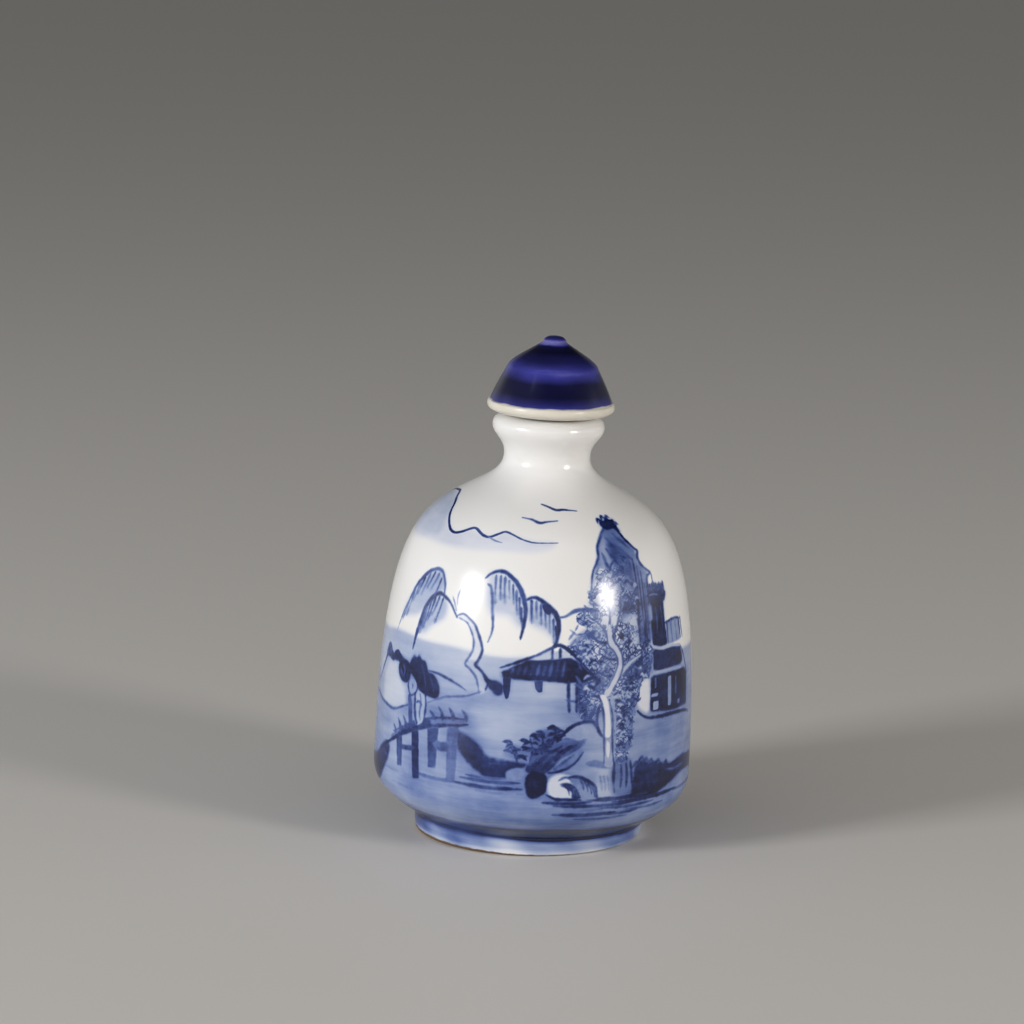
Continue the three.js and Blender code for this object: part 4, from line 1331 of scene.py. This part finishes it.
def painted_porcelain():
    """Hard-paste porcelain, thrown, painted in cobalt and glazed clear.

    A cool white glassy skin; the cobalt lies under it, so it has soft edges and no relief. The colour pools
    in thick strokes and thins to streaky washes. The foot ring is bare clay that fired brown.
    """
    material, tree = new_material("porcelain, clear-glazed over cobalt painting")
    where = add(tree, "ShaderNodeTexCoord").outputs["Object"]
    wall = add(tree, "ShaderNodeAttribute", attribute_name="wall").outputs["Vector"]

    # a 0.9 mm wobble and a fine 0.3 mm grain: the brush's ragged edge and the way cobalt gathers
    wobble = add(tree, "ShaderNodeTexNoise", {"Vector": where, "Scale": 1100.0, "Detail": 3.0})
    grain = add(tree, "ShaderNodeTexNoise", {"Vector": where, "Scale": 3000.0, "Detail": 2.0})
    shaky = add(tree, "ShaderNodeMapRange", {"Value": wobble, "To Min": -0.16, "To Max": 0.16})
    # washes run round the pot in long flat pulls of a wide brush
    pulled = add(tree, "ShaderNodeMapping", {"Vector": where, "Scale": (90.0, 90.0, 620.0)})
    long_pulls = {"Vector": pulled, "Scale": 1.0, "Detail": 4.0, "Roughness": 0.6}
    streaks = add(tree, "ShaderNodeTexNoise", long_pulls)
    clouds = add(tree, "ShaderNodeTexNoise", {"Vector": where, "Scale": 130.0, "Detail": 3.0})
    streaky = add(
        tree,
        "ShaderNodeMapRange",
        {"Value": streaks, "From Min": 0.3, "From Max": 0.7, "To Min": 0.87, "To Max": 1.12},
    )
    cloudy = add(
        tree,
        "ShaderNodeMapRange",
        {"Value": clouds, "From Min": 0.3, "From Max": 0.7, "To Min": 0.82, "To Max": 1.18},
    )
    uneven = add(tree, "ShaderNodeMath", {0: streaky, 1: cloudy}, operation="MULTIPLY")
    wash = add(tree, "ShaderNodeAttribute", attribute_name="wash").outputs["Fac"]
    density = add(tree, "ShaderNodeMath", {0: wash, 1: uneven}, operation="MULTIPLY")

    # leaves: wavy strokes that cross and leave pale eyes about 0.8 mm wide
    stirred = add(tree, "ShaderNodeTexNoise", {"Vector": wall, "Scale": 0.72, "Detail": 2.0}).outputs["Color"]
    stir = {0: stirred, 1: (2.4, 2.4, 0.0), 2: wall}
    bent = add(tree, "ShaderNodeVectorMath", stir, operation="MULTIPLY_ADD")
    spot = add(tree, "ShaderNodeSeparateXYZ", {0: bent}).outputs
    phase = add(tree, "ShaderNodeMath", {0: spot["X"], 1: TURN / 1.05}, operation="MULTIPLY")
    wave = add(tree, "ShaderNodeMath", {0: phase}, operation="SINE")
    tier = add(tree, "ShaderNodeMath", {0: spot["Y"], 1: 1 / 0.85}, operation="MULTIPLY")
    rising = add(tree, "ShaderNodeMath", {0: wave, 1: 0.3, 2: tier}, operation="MULTIPLY_ADD")
    falling = add(tree, "ShaderNodeMath", {0: wave, 1: -0.3, 2: tier}, operation="MULTIPLY_ADD")
    between = add(tree, "ShaderNodeMath", {0: falling, 1: 0.5}, operation="ADD")
    away_up = add(tree, "ShaderNodeMath", {0: rising, 1: 0.5}, operation="PINGPONG")
    away_down = add(tree, "ShaderNodeMath", {0: between, 1: 0.5}, operation="PINGPONG")
    away = add(tree, "ShaderNodeMath", {0: away_up, 1: away_down}, operation="MINIMUM")
    press = add(tree, "ShaderNodeTexNoise", {"Vector": wall, "Scale": 1.1, "Detail": 1.0})
    thick = add(
        tree,
        "ShaderNodeMapRange",
        {"Value": press, "From Min": 0.35, "From Max": 0.65, "To Min": 0.08, "To Max": 0.24},
    )
    inward = add(tree, "ShaderNodeMath", {0: thick, 1: away}, operation="SUBTRACT")
    net = add(
        tree,
        "ShaderNodeMapRange",
        {"Value": inward, "From Min": -0.17, "From Max": 0.17},
        interpolation_type="SMOOTHSTEP",
    )
    cell = add(tree, "ShaderNodeTexVoronoi", {"Vector": bent, "Scale": 0.8}, voronoi_dimensions="2D")
    pick = add(tree, "ShaderNodeSeparateColor", {0: cell.outputs["Color"]}).outputs
    dab = add(tree, "ShaderNodeMapRange", {"Value": pick["Red"], "To Min": -0.2, "To Max": 0.22})
    under = add(tree, "ShaderNodeMath", {0: density, 1: 0.36}, operation="MAXIMUM")
    dabbed = add(tree, "ShaderNodeMath", {0: under, 1: dab}, operation="ADD", use_clamp=True)
    inked = add(
        tree,
        "ShaderNodeMapRange",
        {"Value": clouds, "From Min": 0.3, "From Max": 0.7, "To Min": 0.64, "To Max": 0.92},
    )
    scribble = add(tree, "ShaderNodeMix", {"Factor": net, "A": dabbed, "B": inked})
    leaves = add(tree, "ShaderNodeAttribute", attribute_name="leaves").outputs["Fac"]
    dropped = add(tree, "ShaderNodeMapRange", {"Value": pick["Green"], "To Min": -0.3, "To Max": 0.3})
    ragged = add(tree, "ShaderNodeMath", {0: leaves, 1: dropped}, operation="ADD")
    leafy = add(tree, "ShaderNodeMapRange", {"Value": ragged, "From Min": 0.35, "From Max": 0.65})
    density = add(tree, "ShaderNodeMix", {"Factor": leafy, "A": density, "B": scribble})

    # the marks, layer over layer: crisp where the half width passes the side offset
    blotch = add(
        tree,
        "ShaderNodeMapRange",
        {"Value": grain, "From Min": 0.25, "From Max": 0.75, "To Min": -0.75, "To Max": -0.71},
    )
    gathered = add(tree, "ShaderNodeMath", {0: wobble, 1: 0.3, 2: blotch}, operation="MULTIPLY_ADD")
    heaped = add(tree, "ShaderNodeMath", {0: uneven, 1: 0.6, 2: gathered}, operation="MULTIPLY_ADD")
    for i in range(LAYERS):
        mark = add(tree, "ShaderNodeAttribute", attribute_name=f"mark {i}").outputs["Vector"]
        parts = add(tree, "ShaderNodeSeparateXYZ", {0: mark}).outputs
        aside = add(tree, "ShaderNodeMath", {0: parts["X"]}, operation="ABSOLUTE")
        depth = add(tree, "ShaderNodeMath", {0: parts["Y"], 1: aside}, operation="SUBTRACT")
        edge = add(tree, "ShaderNodeMath", {0: shaky, 1: 0.25, 2: depth}, operation="MULTIPLY_ADD")
        cover = add(
            tree,
            "ShaderNodeMapRange",
            {"Value": edge, "From Min": -EDGE / 2, "From Max": EDGE / 2},
            interpolation_type="SMOOTHSTEP",
        )
        given = parts["Z"]
        tone = add(tree, "ShaderNodeMath", {0: heaped, 1: given, 2: given}, operation="MULTIPLY_ADD")
        density = add(tree, "ShaderNodeMix", {"Factor": cover, "A": density, "B": tone})

    colour = add(tree, "ShaderNodeValToRGB", {"Fac": density})
    ramp = colour.color_ramp
    for place, code in COBALT[1:-1]:
        ramp.elements.new(place)
    for stop, (place, code) in zip(ramp.elements, COBALT):
        stop.position, stop.color = place, linear(code)

    # the ring the pot stands on: bare clay, burnt brown where the glaze stops in a wavering line
    bare = add(tree, "ShaderNodeAttribute", attribute_name="bare").outputs["Fac"]
    wavering = add(tree, "ShaderNodeMath", {0: shaky, 1: 1.2, 2: bare}, operation="MULTIPLY_ADD")
    clay = add(tree, "ShaderNodeMapRange", {"Value": wavering, "From Min": -0.06, "From Max": 0.08})
    toasted = add(tree, "ShaderNodeValToRGB", {"Fac": grain})
    toasted.color_ramp.elements[0].color = linear("#33241a")
    toasted.color_ramp.elements[1].color = linear("#84694c")
    skin = add(tree, "ShaderNodeMix", {"Factor": clay, "A": colour, "B": toasted}, data_type="RGBA")
    gloss = add(tree, "ShaderNodeMapRange", {"Value": clay, "To Min": 0.19, "To Max": 0.8})
    # the glaze is not quite flat: dimples 3 mm apart and a hundredth of a mm deep bend its reflections
    dimples = add(tree, "ShaderNodeTexNoise", {"Vector": where, "Scale": 300.0, "Detail": 2.0})
    relief = add(tree, "ShaderNodeBump", {"Height": dimples, "Strength": 1.0, "Distance": 0.000012})
    shader = add(
        tree,
        "ShaderNodeBsdfPrincipled",
        {"Base Color": skin.outputs["Result"], "Roughness": gloss, "Normal": relief, "IOR": 1.5},
    )
    add(tree, "ShaderNodeOutputMaterial", {"Surface": shader})
    return material


def cobalt_porcelain():
    """Porcelain dipped in dark cobalt glaze, with the rim and the plug left cream.

    Almost black-blue where the glaze lies thick; violet-blue where it runs thinner at its lower edge. The
    violet-blue band over the cap's bend and the light on the tip are partly thinner glaze, partly a painted
    reflection of the overhead light and a painted highlight.
    """
    material, tree = new_material("porcelain, cobalt-glazed")
    where = add(tree, "ShaderNodeTexCoord").outputs["Object"]
    height = add(tree, "ShaderNodeAttribute", attribute_name="height").outputs["Fac"]
    waver = add(tree, "ShaderNodeTexNoise", {"Vector": where, "Scale": 260.0, "Detail": 2.0})
    wavering = add(tree, "ShaderNodeMath", {0: waver, 1: 0.5, 2: height}, operation="MULTIPLY_ADD")
    level = add(tree, "ShaderNodeMath", {0: wavering, 1: 0.25}, operation="SUBTRACT")
    dipped = add(
        tree,
        "ShaderNodeMapRange",
        {"Value": level, "From Min": GLAZE_LINE - 0.1, "From Max": GLAZE_LINE + 0.12},
    )
    # how thinly the glaze runs from the lower edge to the tip, with a painted reflection band over the cap's
    # bend and a painted highlight on the tip
    from_edge = add(tree, "ShaderNodeMath", {0: level, 1: GLAZE_LINE}, operation="SUBTRACT")
    up = add(tree, "ShaderNodeMath", {0: from_edge, 1: TIP_TOP - GLAZE_LINE}, operation="DIVIDE")
    thinning_and_sheen = add(tree, "ShaderNodeValToRGB", {"Fac": up})
    # the bright stops about half way up and near the top are the painted reflection band over the cap's bend
    # and the painted highlight on the tip
    stops = (
        (0.0, 0.5), (0.06, 0.24), (0.16, 0.04), (0.34, 0.06), (0.42, 0.36), (0.5, 0.66), (0.56, 0.56),
        (0.66, 0.2), (0.78, 0.02), (0.855, 0.06), (0.88, 0.9), (0.925, 1.0), (0.965, 0.25),
    )
    for place, _ in stops[1:-1]:
        thinning_and_sheen.color_ramp.elements.new(place)
    for stop, (place, value) in zip(thinning_and_sheen.color_ramp.elements, stops):
        stop.position, stop.color = place, (value, value, value, 1.0)
    pulled = add(tree, "ShaderNodeMapping", {"Vector": where, "Scale": (160.0, 160.0, 420.0)})
    streaks = add(tree, "ShaderNodeTexNoise", {"Vector": pulled, "Scale": 1.0, "Detail": 3.0})
    streaky = add(
        tree,
        "ShaderNodeMapRange",
        {"Value": streaks, "From Min": 0.3, "From Max": 0.7, "To Min": 0.65, "To Max": 1.2},
    )
    thinness_and_sheen = add(tree, "ShaderNodeMath", {0: thinning_and_sheen, 1: streaky}, operation="MULTIPLY", use_clamp=True)
    glaze = add(tree, "ShaderNodeValToRGB", {"Fac": thinness_and_sheen})
    glaze.color_ramp.elements.new(0.6)
    for stop, code in zip(glaze.color_ramp.elements, ("#05061c", "#35378c", "#6664a0")):
        stop.color = linear(code)
    cream = add(tree, "ShaderNodeValToRGB", {"Fac": waver})
    cream.color_ramp.elements[0].color = linear("#c5c1b4")
    cream.color_ramp.elements[1].color = linear("#ded9cd")
    skin = add(tree, "ShaderNodeMix", {"Factor": dipped, "A": cream, "B": glaze}, data_type="RGBA")
    gloss = add(tree, "ShaderNodeMapRange", {"Value": dipped, "To Min": 0.3, "To Max": 0.13})
    dimples = add(tree, "ShaderNodeTexNoise", {"Vector": where, "Scale": 420.0, "Detail": 2.0})
    relief = add(tree, "ShaderNodeBump", {"Height": dimples, "Strength": 1.0, "Distance": 0.00002})
    shader = add(
        tree,
        "ShaderNodeBsdfPrincipled",
        {
            "Base Color": skin.outputs["Result"],
            "Roughness": gloss,
            "Normal": relief,
            "IOR": 1.5,
            "Specular IOR Level": 0.34,
        },
    )
    add(tree, "ShaderNodeOutputMaterial", {"Surface": shader})
    return material


# ---------------------------------------------------------------- the pieces

bottle_points = bottle_outline()
foot_x = centred_shift(bottle_points, "bottle")
bottle = turned(
    "painted_bottle",
    {
        "Outline": outline_object("bottle outline", bottle_points),
        "Columns": BOTTLE_COLUMNS,
        "Front crowding": FRONT_CROWDING,
        "Lean": LEAN,
        "Foot height": FOOT_HEIGHT * MM,
        "Shift": foot_x * MM,
        "Tip drift": 0.0,
        "Drift starts": 0.0,
        "Drift ends": 1.0,
        "Material": painted_porcelain(),
    },
)
stopper = turned(
    "cobalt_stopper",
    {
        "Outline": outline_object("stopper outline", stopper_outline()),
        "Columns": STOPPER_COLUMNS,
        "Front crowding": 0.0,
        "Lean": LEAN,
        "Foot height": FOOT_HEIGHT * MM,
        "Shift": (foot_x + STOPPER_SHIFT) * MM,
        "Tip drift": TIP_DRIFT * MM,
        "Drift starts": CAP_SHOULDER * MM,
        "Drift ends": TIP_TOP * MM,
        "Material": cobalt_porcelain(),
    },
)

lay_flat(bottle, paint(bottle))
store_height(stopper)

# ---------------------------------------------------------------- floor, light and camera


def lamp(name, azimuth, elevation, distance, width, height, radiance, colour, aim):
    """A soft box that faces a point, and stands at an azimuth from the front and an elevation, in degrees."""
    data = bpy.data.lights.new(name, "AREA")
    data.shape = "RECTANGLE"
    data.size, data.size_y = width, height
    data.color = linear(colour)[:3]
    data.energy = radiance * math.pi * width * height
    light = bpy.data.objects.new(name, data)
    a, e = math.radians(azimuth), math.radians(elevation)
    towards = Vector((math.sin(a) * math.cos(e), -math.cos(a) * math.cos(e), math.sin(e)))
    light.location = aim + distance * towards
    light.rotation_euler = towards.to_track_quat("Z", "Y").to_euler()
    bpy.context.scene.collection.objects.link(light)
    return light


def floor_sheet():
    mesh = bpy.data.meshes.new("floor")
    reach = 6.0
    corners = [(reach * x, reach * y, 0) for x, y in ((-1, -1), (1, -1), (1, 1), (-1, 1))]
    mesh.from_pydata(corners, [], [(0, 1, 2, 3)])
    floor = bpy.data.objects.new("floor", mesh)
    material, tree = new_material("pale card")
    shader = add(tree, "ShaderNodeBsdfPrincipled", {"Base Color": linear("#dedbd6"), "Roughness": 0.6})
    add(tree, "ShaderNodeOutputMaterial", {"Surface": shader})
    mesh.materials.append(material)
    bpy.context.scene.collection.objects.link(floor)
    return floor


middle = Vector((foot_x * MM, 0.0, 0.040))  # about half way up the bottle, in metres
lamp("soft box, left", -56, 15.5, 0.9, 0.2, 0.16, 46, "#ffffff", middle)
lamp("soft box, right", 55, 14.5, 0.9, 0.17, 0.18, 34, "#fff8f0", middle)
lamp("overhead panel", 0, 62, 1.1, 1.6, 0.35, 0.6, "#f4f6ff", middle)
lamp("front card", 0, 4, 1.3, 1.2, 0.5, 0.42, "#ffffff", middle)

# a room with a dim ceiling, pale at its side walls and darker behind the bottle and a little to its right
DIM_MIDDLE = 0.22  # sideways part of the direction to the dimmest wall
world = bpy.data.worlds.new("pale room")
world.use_nodes = True
room = world.node_tree
towards = add(room, "ShaderNodeTexCoord").outputs["Generated"]
direction = add(room, "ShaderNodeSeparateXYZ", {0: towards}).outputs
leftward = add(room, "ShaderNodeMath", {0: direction["X"], 1: DIM_MIDDLE}, operation="SUBTRACT")
aside = add(room, "ShaderNodeMath", {0: leftward}, operation="ABSOLUTE")
parts = []
for source, low, high, at_low, at_high in (
    (direction["Z"], 0.15, 0.5, 1.0, 0.16),
    (direction["Y"], 0.0, 0.5, 1.0, 0.3),
    (aside, 0.3, 0.9, 0.5, 1.62),
):
    span = {"Value": source, "From Min": low, "From Max": high, "To Min": at_low, "To Max": at_high}
    parts.append(add(room, "ShaderNodeMapRange", span, interpolation_type="SMOOTHSTEP"))
walls = add(room, "ShaderNodeMath", {0: parts[0], 1: parts[1]}, operation="MULTIPLY")
strength = add(room, "ShaderNodeMath", {0: walls, 1: parts[2]}, operation="MULTIPLY")
room.nodes["Background"].inputs["Color"].default_value = linear("#fbfaf8")
room.links.new(strength.outputs[0], room.nodes["Background"].inputs["Strength"])
bpy.context.scene.world = world
bpy.context.scene.view_settings.view_transform = "Standard"

CAMERA_DISTANCE = 0.57295  # metres in front of the bottle's foot
CAMERA_HEIGHT = 0.15674
AIM_ASIDE, AIM_HEIGHT = -0.00354, 0.0490  # where it looks, beside the foot's middle and above the floor
CAMERA_ROLL = math.radians(1.30)
camera_data = bpy.data.cameras.new("camera")
camera_data.lens = 135.53
camera_data.sensor_width = 36.0
camera = bpy.data.objects.new("camera", camera_data)
bpy.context.scene.collection.objects.link(camera)
camera.location = (foot_x * MM, -CAMERA_DISTANCE, CAMERA_HEIGHT)
aim = Vector((foot_x * MM + AIM_ASIDE, 0.0, AIM_HEIGHT))
look = (aim - camera.location).to_track_quat("-Z", "Y").to_matrix()
camera.rotation_euler = (look @ Matrix.Rotation(CAMERA_ROLL, 3, "Z")).to_euler()
bpy.context.scene.camera = camera

# ---------------------------------------------------------------- how it joins the frame

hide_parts("bottle")
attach(bottle, "root")
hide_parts("stopper")
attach(stopper, "root")
floor_sheet()
